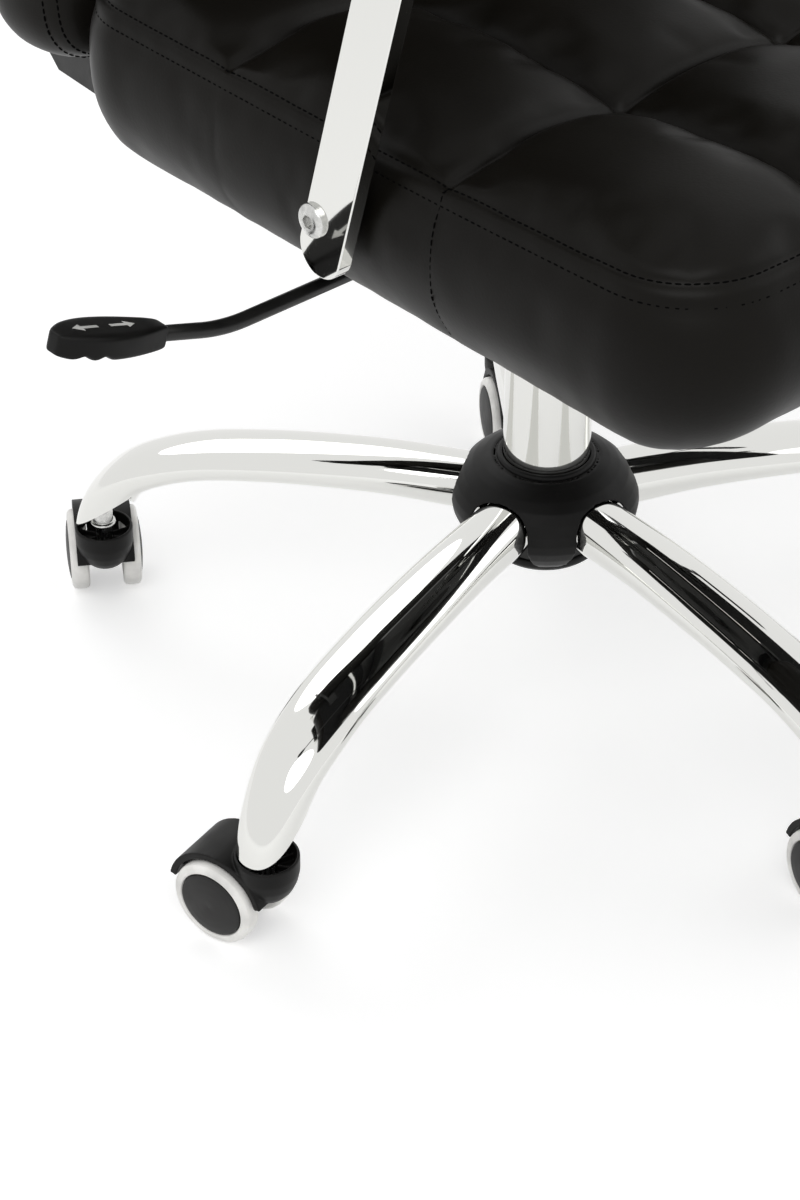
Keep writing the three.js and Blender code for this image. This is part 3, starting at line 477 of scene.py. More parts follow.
def make_leg(number, angle):
    stations = spline(LEG_STATIONS, LEG_STEPS)
    turn = (np.arange(LEG_SIDES) + 0.5) * 2 * math.pi / LEG_SIDES
    across = squared(np.cos(turn), LEG_SQUARENESS)
    up = squared(np.sin(turn), LEG_SQUARENESS)
    rings = []
    for row, (reach, height, width, depth) in enumerate(stations):
        before, after = stations[max(row - 1, 0)], stations[min(row + 1, len(stations) - 1)]
        along = (after[:2] - before[:2]) / np.linalg.norm(after[:2] - before[:2])
        lift = up * depth / 2
        ring = [reach - along[1] * lift, across * width / 2, height + along[0] * lift]
        rings.append(np.stack(ring, axis=1))
    rings = np.array(rings)
    trimmed = np.zeros((LEG_ROWS, LEG_SIDES, 3))
    slope = (CUT_OUTER[1] - CUT_INNER[1]) / (CUT_OUTER[0] - CUT_INNER[0])
    for side in range(LEG_SIDES):
        line = rings[:, side]
        above = line[:, 2] - (CUT_INNER[1] + (line[:, 0] - CUT_INNER[0]) * slope)
        past = [row for row in range(CUT_ROW, len(line)) if above[row] < 0 and line[row, 0] > CUT_REACH]
        last = past[0] if past else len(line) - 1
        share = above[last - 1] / (above[last - 1] - above[last])
        line = np.vstack([line[:last], line[last - 1] + share * (line[last] - line[last - 1])])
        travel = travelled(line)
        trimmed[:, side] = sampled(np.linspace(0, travel[-1], LEG_ROWS), travel, line)
    inner = []
    for ring in trimmed[::-1][:HOLLOW_ROWS]:
        middle = ring.mean(axis=0)
        reach = np.linalg.norm(ring - middle, axis=1)[:, None]
        inner.append(ring + (middle - ring) * np.minimum(LEG_WALL / reach, 0.5))
    points, faces = loft(np.concatenate([trimmed, inner]), capped=False)
    east, north = math.cos(math.radians(angle)), math.sin(math.radians(angle))
    turned = points @ np.array([[east, north, 0], [-north, east, 0], [0, 0, 1]])
    leg = add_object(f"leg_{number}_tube", turned, faces, CHROME)
    soften(leg, 0.35, 2, 50)
    set_out(leg, "base", [f"leg_{number}"])


COVER_PROFILE = [
    (36.6, 106), (41.5, 109.2), (46.5, 114), (50.5, 119.5), (53.2, 125.5), (54, 131), (53.4, 137),
    (51.2, 143), (47.2, 149), (42, 153.8), (36.5, 157.2), (32, 159), (29.6, 159.4), (28.9, 158.6),
]
COVER_WALL, COVER_LIP = 2.4, (28.9, 156.2)
FOOT_PROFILE = [(0, 96.5), (22, 96.8), (30, 98.6), (34.2, 102.6), (34.9, 107.4), (0, 107.6)]
COLUMN_PROFILE = [
    (14.6, 122), (14.6, 294.2), (15.4, 295), (24.2, 295), (25, 294), (25, 110.5), (24.5, 110), (0, 110),
]
RING_PROFILE = [(25.3, 155), (28.3, 155), (28.3, 160), (27.4, 161.4), (25.3, 161.6), (25.3, 155)]
# Half width, height of the middle, rise of the arch and lower end of a slot in the cover
SLOT = (18.9, 133, 16.3, 95)
SLOT_START, SLOT_END = 20, 70


def arch_outline(reach, middle, rise, foot):
    turn = np.radians(np.linspace(180, 0, 33))
    across = squared(np.cos(turn), LEG_SQUARENESS) * reach
    height = middle + np.abs(np.sin(turn)) ** LEG_SQUARENESS * rise
    return [(-reach, foot)] + list(zip(across, height)) + [(reach, foot)]


def make_hub():
    inner = [(radius - COVER_WALL, height) for radius, height in COVER_PROFILE[::-1]]
    inner[0] = COVER_LIP
    profile = COVER_PROFILE + inner + COVER_PROFILE[:1]
    rings = revolve(profile, "z", (0, 0), 120)
    points, faces = hoop(rings[:-1])
    cover = add_object("hub_dome", points, faces, PLASTIC)
    tools = []
    for angle in LEG_ANGLES:
        tool = cutter("slot_tool", arch_outline(*SLOT), "x", SLOT_START, SLOT_END, PLASTIC)
        tool.data.transform(about_column(angle))
        tools.append(tool)
    carve(cover, tools)
    moulded(cover, 0.7, 3, 0.3)
    set_out(cover, "base", ["hub_cover"])
    foot = lathe("hub_foot", FOOT_PROFILE, "z", (0, 0), PLASTIC, 96, round_by=1.5)
    set_out(foot, "base", ["hub_underside"])
    column = lathe("column_outer", COLUMN_PROFILE, "z", (0, 0), CHROME, 128, round_by=0.5)
    set_out(column, "base", ["column_tube"])
    collar = lathe("column_ring", RING_PROFILE, "z", (0, 0), PLASTIC, 96, round_by=0.5)
    set_out(collar, "base", ["column_collar"])


# Casters, made once round their own swivel axis and copied to the five legs
CASTER_TURNS = [57, 104.6, 80, 60, 240]
AXLE = (22.5, 25)
HOOD_HALF = 17.6
NOSE_HALF = 9.7
HOOD_RADIUS, WELL_RADIUS, NOSE_RADIUS = 30.6, 26.6, 6.5
CUP_RADIUS, BORE_RADIUS = 16, 5.3
CUP_FLOOR, BORE_FLOOR, RIB_FOOT, RIB_TOP, ABOVE_HOOD = 46.5, 34, 45, 50.5, 90
BESIDE_HOOD = 60
BARREL_PROFILE = [(0, 28), (6, 28.6), (10.5, 31), (14, 35.4), (16.4, 41), (17.6, 47), (17.7, 57), (0, 57)]
AXLE_PROFILE = [(0, -20.6), (4, -20.6), (4, 20.6), (0, 20.6)]
TYRE_PROFILE = [
    (20.2, 12), (21.2, 10.6), (23.2, 10.5), (24.6, 11.6), (25, 13.4), (25, 18.4), (24.6, 20), (23.2, 21.2),
    (20.6, 21.8), (19.8, 21.4), (19.4, 20.4), (19.4, 12.6), (20.2, 12),
]
DISC_PROFILE = [
    (4.3, 11.2), (19.2, 11.4), (19.2, 20.6), (18.9, 21.6), (17.5, 22.1), (14, 22.7), (9, 23.2), (4.5, 23.45),
    (0, 23.5), (0, 21), (4.3, 20.8), (4.3, 11.2),
]
STEM_PROFILE = [
    (0, 34.5), (4.6, 34.5), (5, 35), (5, 58.6), (7.4, 58.8), (7.8, 59.6), (7.4, 60.6), (6.1, 61), (6.1, 81.6),
    (5.6, 82), (0, 82),
]
RIB = [(5.2, -0.6), (16.6, -0.6), (16.6, 0.6), (5.2, 0.6)]


def knurl(angle, radius, along):
    """Sixteen shallow grooves round the upper part of the stem."""
    return radius - (0.35 if 61.5 < along < 79 and math.cos(16 * angle) > 0.2 else 0)


def caster_shapes():
    """Meshes of one caster with its swivel axis on the column's axis."""
    hood = lathe("caster_hood", BARREL_PROFILE, "z", (0, 0), PLASTIC, 64, round_by=1.2)
    fan = [AXLE] + arc(AXLE, HOOD_RADIUS, 12, 166, 48)
    pie = cutter("pie", fan, "y", -HOOD_HALF, HOOD_HALF, PLASTIC)
    nose = cutter("nose", arc(AXLE, NOSE_RADIUS, 0, 350, 35), "y", -NOSE_HALF, NOSE_HALF, PLASTIC)
    carve(hood, [pie, nose], "UNION")
    tools = [
        cutter("well", arc(AXLE, WELL_RADIUS, 0, 355, 71), "y", low, high, PLASTIC)
        for low, high in ((NOSE_HALF, BESIDE_HOOD), (-BESIDE_HOOD, -NOSE_HALF))
    ]
    cup = arc((0, 0), CUP_RADIUS, 0, 355, 71)
    tools.append(cutter("cup", cup, "z", CUP_FLOOR, ABOVE_HOOD, PLASTIC))
    carve(hood, tools)
    ribs = []
    for turn in range(0, 360, 45):
        rib = cutter("rib", RIB, "z", RIB_FOOT, RIB_TOP, PLASTIC)
        rib.data.transform(about_column(turn + 20))
        ribs.append(rib)
    carve(hood, ribs, "UNION")
    bore = arc((0, 0), BORE_RADIUS, 0, 350, 35)
    carve(hood, [cutter("bore", bore, "z", BORE_FLOOR, ABOVE_HOOD, PLASTIC)])
    moulded(hood, 0.55, 3, 0.3)
    axle = lathe("axle", AXLE_PROFILE, "y", AXLE, ZINC, 24)
    tyre = lathe("tyre", TYRE_PROFILE, "y", AXLE, TYRE, 96, round_by=0.4)
    disc = lathe("disc", DISC_PROFILE, "y", AXLE, DISC, 96, round_by=0.3)
    stem = lathe("stem", STEM_PROFILE, "z", (0, 0), ZINC, 96, knurl, 0.25)
    return hood, axle, tyre, disc, stem


def place_copy(source, name, matrix):
    piece = new_object(name, source.data.copy())
    piece.data.name = name
    piece.data.transform(matrix)
    return piece


def make_casters():
    shapes = caster_shapes()
    hood, axle, tyre, disc, stem = shapes
    mirror = HOME @ Matrix.Scale(-1, 4, (0, 1, 0)) @ HOME.inverted()
    for row, (angle, turn) in enumerate(zip(LEG_ANGLES, CASTER_TURNS)):
        number = row + 1
        reach, aim = CASTER_REACH * MM, math.radians(angle)
        spot = Vector((reach * math.cos(aim), reach * math.sin(aim), 0))
        move = Matrix.Translation(spot) @ about_column(turn)
        body = f"caster_{number}"
        set_out(place_copy(hood, f"{body}_cup", move), body, [f"{body}_hood"])
        set_out(place_copy(axle, f"{body}_axle", move), body)
        set_out(place_copy(stem, f"{body}_pin", move), body, [f"{body}_stem"])
        for side, flip in (("left", Matrix.Identity(4)), ("right", mirror)):
            wheel = f"wheel_{number}_{side}"
            ring = place_copy(tyre, f"{wheel}_tyre", move @ flip)
            centre = place_copy(disc, f"{wheel}_disc", move @ flip)
            if side == "right":
                ring.data.flip_normals()
                centre.data.flip_normals()
            set_out(ring, wheel, [f"{body}_wheel_{side}"])
            set_out(centre, wheel, [f"{body}_wheel_{side}"])
    remove(shapes)


# Height lever
LEVER_BEND = np.array([-285.0, -75, 390])
LEVER_SLOPE = math.radians(18)
LEVER_RISE = np.array([-math.cos(LEVER_SLOPE), 0, math.sin(LEVER_SLOPE)])
LEVER_UP = np.array([math.sin(LEVER_SLOPE), 0, math.cos(LEVER_SLOPE)])
LEVER_ROOT = (-58, -75, 390)
LEVER_RADIUS = 3.75
LEVER_END = 80
PIN_PROFILE, PIN_SPOT = [(0, -84), (3, -84), (3, -66), (0, -66)], (-70, 390)
GRIP_START = 37
SIDEWAYS = np.array([0.0, 1, 0])
# Distance along the grip, half width, height above and depth below the middle
GRIP_STATIONS = [
    (0, 4.6, 4.8, 5.2), (2, 5.4, 5.6, 5.8), (7, 7.2, 6, 6), (14, 9.4, 6, 6), (22, 11.4, 6, 6),
    (30, 12.6, 6, 6), (38, 12.9, 6, 6), (45, 12.2, 5.9, 6), (52, 10.2, 5.7, 6), (57, 7.6, 5.2, 5.8),
    (60.5, 4.8, 4.6, 5.2), (61.5, 2.8, 4, 4.6),
]
GRIP_SIDES = 64
GRIP_SQUARENESS = 0.3
FINGER_RIDGES = (40, 50)
ARROW_BOTTOM, ARROW_TOP = 5.9, 6.12


def grip_point(distance, across, level):
    """A place on the grip: along it, across it and above its middle."""
    return LEVER_BEND + LEVER_RISE * (GRIP_START + distance) + SIDEWAYS * across + LEVER_UP * level


def make_lever():
    path = rounded([LEVER_ROOT, LEVER_BEND, LEVER_BEND + LEVER_RISE * LEVER_END], 14, 14)
    points, faces = sweep(path, LEVER_RADIUS, 32, SIDEWAYS)
    bar = add_object("lever_bar", points, faces, PAINT)
    set_out(bar, "lever", ["lever_rod"])
    pin = lathe("lever_cross_pin", PIN_PROFILE, "y", PIN_SPOT, ZINC, 24)
    set_out(pin, "lever")
    turn = np.arange(GRIP_SIDES) * 2 * math.pi / GRIP_SIDES
    across = squared(np.cos(turn), GRIP_SQUARENESS)
    lift = squared(np.sin(turn), GRIP_SQUARENESS)
    rings = []
    for distance, width, above, below in spline(GRIP_STATIONS, 110):
        groove = sum(2.1 * math.exp(-((distance - ridge) / 3) ** 2) for ridge in FINGER_RIDGES)
        height = np.where(lift > 0, lift * above, lift * (below - groove))
        middle = grip_point(distance, 0, 0)
        rings.append(middle + np.outer(across * width, SIDEWAYS) + np.outer(height, LEVER_UP))
    points, faces = loft(rings)
    grip = add_object("lever_paddle", points, faces, PLASTIC)
    refine(grip)
    set_out(grip, "lever", ["lever_grip"])
    make_arrows()


def make_arrows():
    """Two plain arrows, raised a little from the top of the grip."""
    points, faces = [], []
    for start, way in ((38, 1), (31, -1)):
        head, tip = start + 9 * way, start + 14 * way
        shape = [(start, -1.1), (head, -1.1), (head, -3.2), (tip, 0), (head, 3.2), (head, 1.1), (start, 1.1)]
        faces += prism_faces(len(shape), len(points))
        for level in (ARROW_BOTTOM, ARROW_TOP):
            points += [grip_point(distance, across, level) for distance, across in shape]
    arrows = add_object("lever_arrows", points, faces, PRINT, smooth=False)
    set_out(arrows, "lever")


# Padded pieces
SEAM_MARGIN = 2.6
EDGE_REACH = 45
SIDE_SHARE = 0.35


def no_rise(u, v):
    return 0


def unturned(points):
    return points


def subdivided(seams, cell):
    stops = [seams[0]]
    marks = [0]
    for start, end in zip(seams, seams[1:]):
        count = max(2, round((end - start) / cell))
        margin = min(SEAM_MARGIN, cell * 0.45)
        stops += list(np.linspace(start + margin, end - margin, count + 1)) + [end]
        marks.append(len(stops) - 1)
    return np.array(stops), marks


def fraction(value, seams):
    """Where a value lies between its two seams, from 0 to 1."""
    upper = min(max(int(np.searchsorted(seams, value)), 1), len(seams) - 1)
    return min(max((value - seams[upper - 1]) / (seams[upper] - seams[upper - 1]), 0), 1)


class Pad:
    """A stuffed block in its own frame: u across, v along, w through its thickness."""

    def __init__(self, name, across, along, cell, corner, side, puff, seam_rise=0, dome=0,
                 edge_rise=no_rise, to_world=unturned):
        self.name, self.seams = name, (across, along)
        self.corner, self.side = corner, side
        self.puff, self.seam_rise, self.dome = puff, seam_rise, dome
        self.edge_rise, self.to_world = edge_rise, to_world
        self.u, self.u_marks = subdivided(across, cell)
        self.v, self.v_marks = subdivided(along, cell)
        self.middle = [(stops[0] + stops[-1]) / 2 for stops in (self.u, self.v)]
        self.reach = [(stops[-1] - stops[0]) / 2 for stops in (self.u, self.v)]
        self.build()

    def plan(self, u, v):
        """Rounds the corners of the outline."""
        flat = [u - self.middle[0], v - self.middle[1]]
        over = [max(abs(flat[way]) - self.reach[way] + self.corner, 0) for way in (0, 1)]
        far = math.hypot(*over)
        if far > 0:
            pull = max(over) / far
            for way in (0, 1):
                if over[way] > 0:
                    flat[way] = math.copysign(self.reach[way] - self.corner + over[way] * pull, flat[way])
        return flat[0] + self.middle[0], flat[1] + self.middle[1]

    def height(self, u, v):
        a = math.sin(math.pi * fraction(u, self.seams[0]))
        b = math.sin(math.pi * fraction(v, self.seams[1]))
        edge = min(self.reach[0] - abs(u - self.middle[0]), self.reach[1] - abs(v - self.middle[1]))
        mask = min(1, max(edge, 0) / EDGE_REACH)
        share = ((u - self.middle[0]) / self.reach[0], (v - self.middle[1]) / self.reach[1])
        dome = self.dome * (1 - share[0] ** 4) * (1 - share[1] ** 4)
        rise = self.puff * max(a * b, 0) ** 0.5
        seam = self.seam_rise * mask * (b * (1 - a) + a * (1 - b))
        return dome + rise + seam + self.edge_rise(u, v)

    def build(self):
        columns, rows = len(self.u), len(self.v)
        points = []
        self.pins = []
        for j in range(rows):
            for i in range(columns):
                u, v = self.plan(self.u[i], self.v[j])
                points.append((u, v, self.side[0][1] + self.height(self.u[i], self.v[j])))
                border = i in (0, columns - 1) or j in (0, rows - 1)
                if border or i in self.u_marks or j in self.v_marks:
                    self.pins.append(len(points) - 1)
        faces = grid_faces(rows, columns, closed=False)
        rim = list(range(columns))
        rim += [j * columns + columns - 1 for j in range(1, rows)]
        rim += [(rows - 1) * columns + i for i in range(columns - 2, -1, -1)]
        rim += [j * columns for j in range(rows - 2, 0, -1)]
        self.rim = rim
        outline = np.array([points[index][:2] for index in rim])
        along = np.roll(outline, -1, axis=0) - np.roll(outline, 1, axis=0)
        normal = np.stack([along[:, 1], -along[:, 0]], axis=1)
        normal /= np.linalg.norm(normal, axis=1)[:, None]
        rings = [rim]
        lift = [self.edge_rise(*spot) for spot in outline]
        top, foot = self.side[0][1], self.side[-1][1]
        for outset, height, held in self.side[1:]:
            ring = []
            for k in range(len(rim)):
                out = outset(normal[k]) if callable(outset) else outset
                share = (height - foot) / (top - foot)
                spot = outline[k] + normal[k] * out
                points.append((spot[0], spot[1], height + lift[k] * max(share, 0)))
                ring.append(len(points) - 1)
                if held:
                    self.pins.append(len(points) - 1)
            last = rings[-1]
            for k in range(len(rim)):
                following = (k + 1) % len(rim)
                faces.append((last[following], last[k], ring[k], ring[following]))
            rings.append(ring)
        self.rings = rings
        self.floor = self.close(points, faces, rings[-1])
        self.points, self.faces = np.array(points), faces

    def close(self, points, faces, ring):
        """Fills the underside with a grid that meets the last ring."""
        columns, rows = len(self.u), len(self.v)
        edge = np.array([points[index] for index in ring])
        share = [1 - np.ptp(edge[:, way]) / 2 / self.reach[way] for way in (0, 1)]
        place = dict(zip(self.rim, ring))
        floor = []
        for j in range(rows):
            for i in range(columns):
                index = j * columns + i
                if index not in place:
                    spot = points[index]
                    flat = [spot[way] + (self.middle[way] - spot[way]) * share[way] for way in (0, 1)]
                    points.append((*flat, edge[0][2]))
                    place[index] = len(points) - 1
                    floor.append(place[index])
        for face in grid_faces(rows, columns, closed=False):
            faces.append(tuple(place[face[corner]] for corner in (0, 3, 2, 1)))
        return floor

    def read(self, value, indices):
        """The places or normals of some of the piece's points."""
        return np.array([getattr(self.piece.data.vertices[index], value) for index in indices])


COVER_CLOTH = {
    "quality": 6, "mass": 0.25, "tension_stiffness": 25, "compression_stiffness": 25, "shear_stiffness": 12,
    "bending_stiffness": 1.2, "use_pressure": True, "vertex_group_mass": "held",
}


def inflate(pad, pressure, cap, slack=0.02, frames=20):
    """Lets the cover swell between its seams, holding the seams where they are."""
    piece = pad.piece
    rest = np.array([vertex.co for vertex in piece.data.vertices])
    held = piece.vertex_groups.new(name="held")
    held.add(list(pad.pins) + list(pad.rings[-1]) + pad.floor, 1.0, "REPLACE")
    cloth = piece.modifiers.new("cloth", "CLOTH")
    settings = cloth.settings
    for name, value in COVER_CLOTH.items():
        setattr(settings, name, value)
    settings.shrink_min = -slack
    settings.uniform_pressure_force = pressure
    settings.effector_weights.gravity = 0
    cloth.collision_settings.use_collision = False
    scene = bpy.context.scene
    cloth.point_cache.frame_start = 1
    cloth.point_cache.frame_end = frames
    for step in range(1, frames + 1):
        scene.frame_set(step)
    graph = bpy.context.evaluated_depsgraph_get()
    swollen = np.array([vertex.co for vertex in piece.evaluated_get(graph).data.vertices])
    piece.modifiers.clear()
    piece.vertex_groups.clear()
    scene.frame_set(1)
    move = swollen - rest
    far = np.linalg.norm(move, axis=1)
    share = np.where(far > cap * MM, cap * MM / np.maximum(far, 1e-9), 1.0)
    sides = np.ones(len(rest))
    for ring in pad.rings[1:]:
        sides[ring] = SIDE_SHARE
    final = rest + move * (share * sides)[:, None]
    piece.data.vertices.foreach_set("co", final.reshape(-1))
    piece.data.update()


def crease(pad, sharpness):
    """Keeps the sewn lines crisp when the cover is smoothed."""
    columns, rows = len(pad.u), len(pad.v)
    sewn = set(zip(pad.rings[0], pad.rings[0][1:] + pad.rings[0][:1]))
    for i in pad.u_marks[1:-1]:
        sewn |= {(j * columns + i, (j + 1) * columns + i) for j in range(rows - 1)}
    for j in pad.v_marks[1:-1]:
        sewn |= {(j * columns + i, j * columns + i + 1) for i in range(columns - 1)}
    data = pad.piece.data
    values = data.attributes.new("crease_edge", "FLOAT", "EDGE")
    for edge in data.edges:
        near, far = edge.vertices
        if (near, far) in sewn or (far, near) in sewn:
            values.data[edge.index].value = sharpness


def refine(piece):
    smooth = piece.modifiers.new("refine", "SUBSURF")
    smooth.levels = 1
    smooth.render_levels = 1
    smooth.boundary_smooth = "PRESERVE_CORNERS"


def press(pad, indices, depth):
    """Draws some of a pad's points into the padding."""
    data = pad.piece.data
    for index in indices:
        data.vertices[index].co -= data.vertices[index].normal * depth * MM
    data.update()


def sewn_points(pad):
    """The points of the top's inner seams."""
    columns, rows = len(pad.u), len(pad.v)
    return [
        j * columns + i for j in range(1, rows - 1) for i in range(1, columns - 1)
        if i in pad.u_marks or j in pad.v_marks
    ]


def upholster(pad, body, node, swell, seam_depth=0, rims=(), sharpness=0):
    """Makes a pad's piece on its body; swell is the pressure, cap, slack and frames of its cloth."""
    pad.piece = piece = add_object(pad.name, pad.to_world(pad.points), pad.faces, LEATHER)
    if swell:
        inflate(pad, *swell)
    if seam_depth:
        press(pad, sewn_points(pad), seam_depth)
    for level, depth in rims:
        press(pad, pad.rings[level], depth)
    if sharpness:
        crease(pad, sharpness)
    refine(piece)
    set_out(piece, body, [node])


def stitch_template():
    rings = []
    for along, radius in ((-0.5, 0.25), (-0.42, 0.75), (-0.2, 1), (0.2, 1), (0.42, 0.75), (0.5, 0.25)):
        ring = []
        for side in range(6):
            angle = side * math.pi / 3
            ring.append((along, radius * math.cos(angle), radius * math.sin(angle)))
        rings.append(ring)
    return loft(rings)


STITCH_LENGTH = 2.9
STITCH_SINK = 0.15


def stitch_row(name, pad, indices, body, pitch=3.8, radius=0.6, closed=True):
    """A row of separate stitches along some of a pad's points."""
    line, normals = pad.read("co", indices), pad.read("normal", indices)
    if closed:
        line = np.vstack([line, line[:1]])
        normals = np.vstack([normals, normals[:1]])
    travel = travelled(line)
    count = max(2, int(travel[-1] / (pitch * MM)))
    template, template_faces = stitch_template()
    points, faces = [], []
    for stitch in range(count):
        middle = (stitch + 0.5) * travel[-1] / count
        ends = [max(middle - 0.5 * MM, 0), min(middle + 0.5 * MM, travel[-1])]
        spot = sampled(middle, travel, line)
        back, ahead = sampled(ends, travel, line)
        along = (ahead - back) / max(np.linalg.norm(ahead - back), 1e-9)
        up = sampled(middle, travel, normals)
        up -= along * up.dot(along)
        up /= max(np.linalg.norm(up), 1e-9)
        side = np.cross(along, up)
        base = len(points)
        spot = spot - up * STITCH_SINK * MM
        for x, y, z in template:
            points.append(spot + (along * x * STITCH_LENGTH + side * y * radius + up * z * radius) * MM)
        faces += [tuple(base + corner for corner in face) for face in template_faces]
    data = bpy.data.meshes.new(name)
    data.from_pydata([tuple(point) for point in points], [], faces)
    data.materials.append(THREAD)
    data.shade_smooth()
    set_out(new_object(name, data), body)


# Seat
def seat_outset(side, front, rear):
    """How far the side stands out at a level: more at the front, less along the sides and back."""
    def reach(normal):
        ahead = max(-normal[1], 0) ** 2
        behind = max(normal[1], 0) ** 2
        return side * (1 - ahead - behind) + front * ahead + rear * behind

    return reach


def seat_edge(u, v):
    """The top seam climbs a little towards the front corners."""
    ahead = max(0, (-150 - v) / 185)
    return 6 * ahead ** 1.5


# Height of a level, how far it stands out at the sides, front and back, and whether it is held
SEAT_LEVELS = [
    (497.6, 1.9, 2.2, 0.9, False), (494.8, 3.2, 3.9, 1.2, False), (492, 4.2, 5.2, 1.5, True),
    (485, 6.8, 9.4, 2, False), (477, 8.2, 12.6, 2.2, False), (468, 8.8, 14.4, 2.4, False),
    (459, 8.6, 14.4, 2.4, False), (450, 7.4, 12.6, 2, False), (441, 4.8, 9, 1, False),
    (433, 0.8, 3.2, 0, False), (426, -3.4, -4.2, -1.5, False), (420.6, -8, -12, -3, False),
    (417.9, -13, -21, -6, True), (418.2, -18, -27, -8, True), (421, -20, -29, -9, True),
]
SEAT_SIDE = [(0, 500, True)]
SEAT_SIDE += [(seat_outset(*out), height, held) for height, *out, held in SEAT_LEVELS]
SEAT_ACROSS = [-255, -153, -51, 51, 153, 255]
SEAT_ALONG = [-335, -192.7, -46, 76]
# The seam down each side, as its place along the seat and its number of levels
SIDE_SEAM, SIDE_SEAM_LEVELS = -192, 12


def make_seat():
    pad = Pad("seat_pad", SEAT_ACROSS, SEAT_ALONG, 6.5, 42, SEAT_SIDE, 14, 5.5, edge_rise=seat_edge)
    upholster(pad, "seat", "seat_cushion", (4, 6, 0.015), 3, ((0, 2), (3, 0.7)), 0.75)
    stitch_row("seat_stitch_top", pad, pad.rings[0], "seat")
    stitch_row("seat_stitch_side", pad, pad.rings[3], "seat")
    rim = pad.points[pad.rim]
    for way, label in ((-1, "right"), (1, "left")):
        near = [k for k in range(len(rim)) if rim[k][0] * way > 240]
        start = min(near, key=lambda k: abs(rim[k][1] - SIDE_SEAM))
        column = [ring[start] for ring in pad.rings[:SIDE_SEAM_LEVELS]]
        stitch_row(f"seat_stitch_{label}", pad, column, "seat", radius=0.38, closed=False)


# Back
BACK_ROOT = (150, 440)
BACK_LEAN = math.radians(6)


def back_frame(points):
    """From u across, v up, w towards the front, to the leaned back."""
    points = np.asarray(points, float)
    deep = -points[:, 2]
    y = BACK_ROOT[0] + deep * math.cos(BACK_LEAN) + points[:, 1] * math.sin(BACK_LEAN)
    z = BACK_ROOT[1] - deep * math.sin(BACK_LEAN) + points[:, 1] * math.cos(BACK_LEAN)
    return np.stack([points[:, 0], y, z], axis=1)


def pad_sides(top, foot, bulge, tuck):
    """Side levels of a simple pad from its top seam to its foot."""
    deep = top - foot
    levels = [(0, top, True)]
    for share, out, held in (
        (0.06, 0.3, False), (0.13, 0.55, True), (0.25, 0.85, False), (0.4, 1, False), (0.55, 1, False),
        (0.7, 0.85, False), (0.84, 0.45, False), (0.94, 0, False), (1, -0.6, True),
    ):
        levels.append((out * bulge if out > 0 else out * tuck, top - deep * share, held))
    levels.append((-tuck * 2, foot, True))
    return levels


BACK_ACROSS = [seam * 248 / 255 for seam in SEAT_ACROSS]
BACK_ALONG = list(np.linspace(2, 550, 6))
HEAD_ACROSS, HEAD_ALONG = [-236, -79, 79, 236], [567, 736]
BACK_DEPTH, HEAD_DEPTH, PAD_FOOT = 60, 70, 0.6
SHELL_ACROSS, SHELL_ALONG = [-248, 248], [10, 733]
SHELL_SIDE = [
    (0, 15.4, True), (1.4, 14.6, True), (2, 12, False), (2, 4.5, False), (1, 1.2, True), (-3, 0.4, True),
]


def make_back():
    side = pad_sides(BACK_DEPTH, PAD_FOOT, 6, 5)
    pad = Pad("back_pad", BACK_ACROSS, BACK_ALONG, 7.4, 24, side, 13, 4.5, to_world=back_frame)
    upholster(pad, "back", "back_cushion", (4, 8, 0.03), 2.4, sharpness=0.7)
    stitch_row("back_stitch_front", pad, pad.rings[0], "back")
    stitch_row("back_stitch_side", pad, pad.rings[2], "back")
    side = pad_sides(HEAD_DEPTH, PAD_FOOT, 6, 6)
    head = Pad("head_pad", HEAD_ACROSS, HEAD_ALONG, 7.4, 46, side, 16, 5, 8, to_world=back_frame)
    upholster(head, "back", "head_cushion", (4, 9, 0.03), 2.4, sharpness=0.7)
    stitch_row("head_stitch", head, head.rings[0], "back")


def shell_frame(points):
    """The back's frame turned over, for the rear cover."""
    return back_frame(points * (1, 1, -1))


def make_back_shell():
    shell = Pad(
        "back_cover", SHELL_ACROSS, SHELL_ALONG, 9, 44, SHELL_SIDE, 1.2, 0, 0.6, to_world=shell_frame,
    )
    upholster(shell, "back", "back_shell", None)
    stitch_row("shell_stitch", shell, shell.rings[1], "back", pitch=4)


# Arms
STRUT_FOOT, STRUT_TOP = (-135, 453), (-204, 690)
STRUT_FACES, RAIL_FACES = (269, 277), (277.4, 285.4)
STRUT_BOLT = (-131.5, 467)
STRUT_HALF, RAIL_HALF = 13.25, 13
RAIL_REAR, RAIL_FRONT = (184, 690), (-215, 690)
STUD_END = 277.6
STRUT_BOLT_FACE, RAIL_BOLT_FACE = 277.3, 285.3
# Turned profiles, as radius and place along x; a bolt's head is measured from its face
BOLT_PROFILE = [(0, -1), (8, -1), (8, 1.3), (7.2, 2.2), (5.6, 2.9), (4.4, 3.05), (0, 3.05)]
SOCKET_RADIUS, SOCKET_FLOOR, SOCKET_END = 3.4, 0.6, 6
SHANK_PROFILE = [
    (0, 228), (4, 228), (4, 263), (7, 263.4), (7, 268.7), (4, 268.8), (4, 268.9), (0, 268.9),
]
REAR_STUD = [(0, 218), (4.5, 218), (4.5, 251), (7.5, 251.2), (7.5, STUD_END), (0, STUD_END)]
FRONT_STUD = [(0, 269.4), (4.5, 269.4), (4.5, STUD_END), (0, STUD_END)]
ARM_MIDDLE, ARM_HALF, ARM_TOP, ARM_FOOT = 287.4, 25, 724, 703.6
ARM_ALONG = [-182.75, 70]


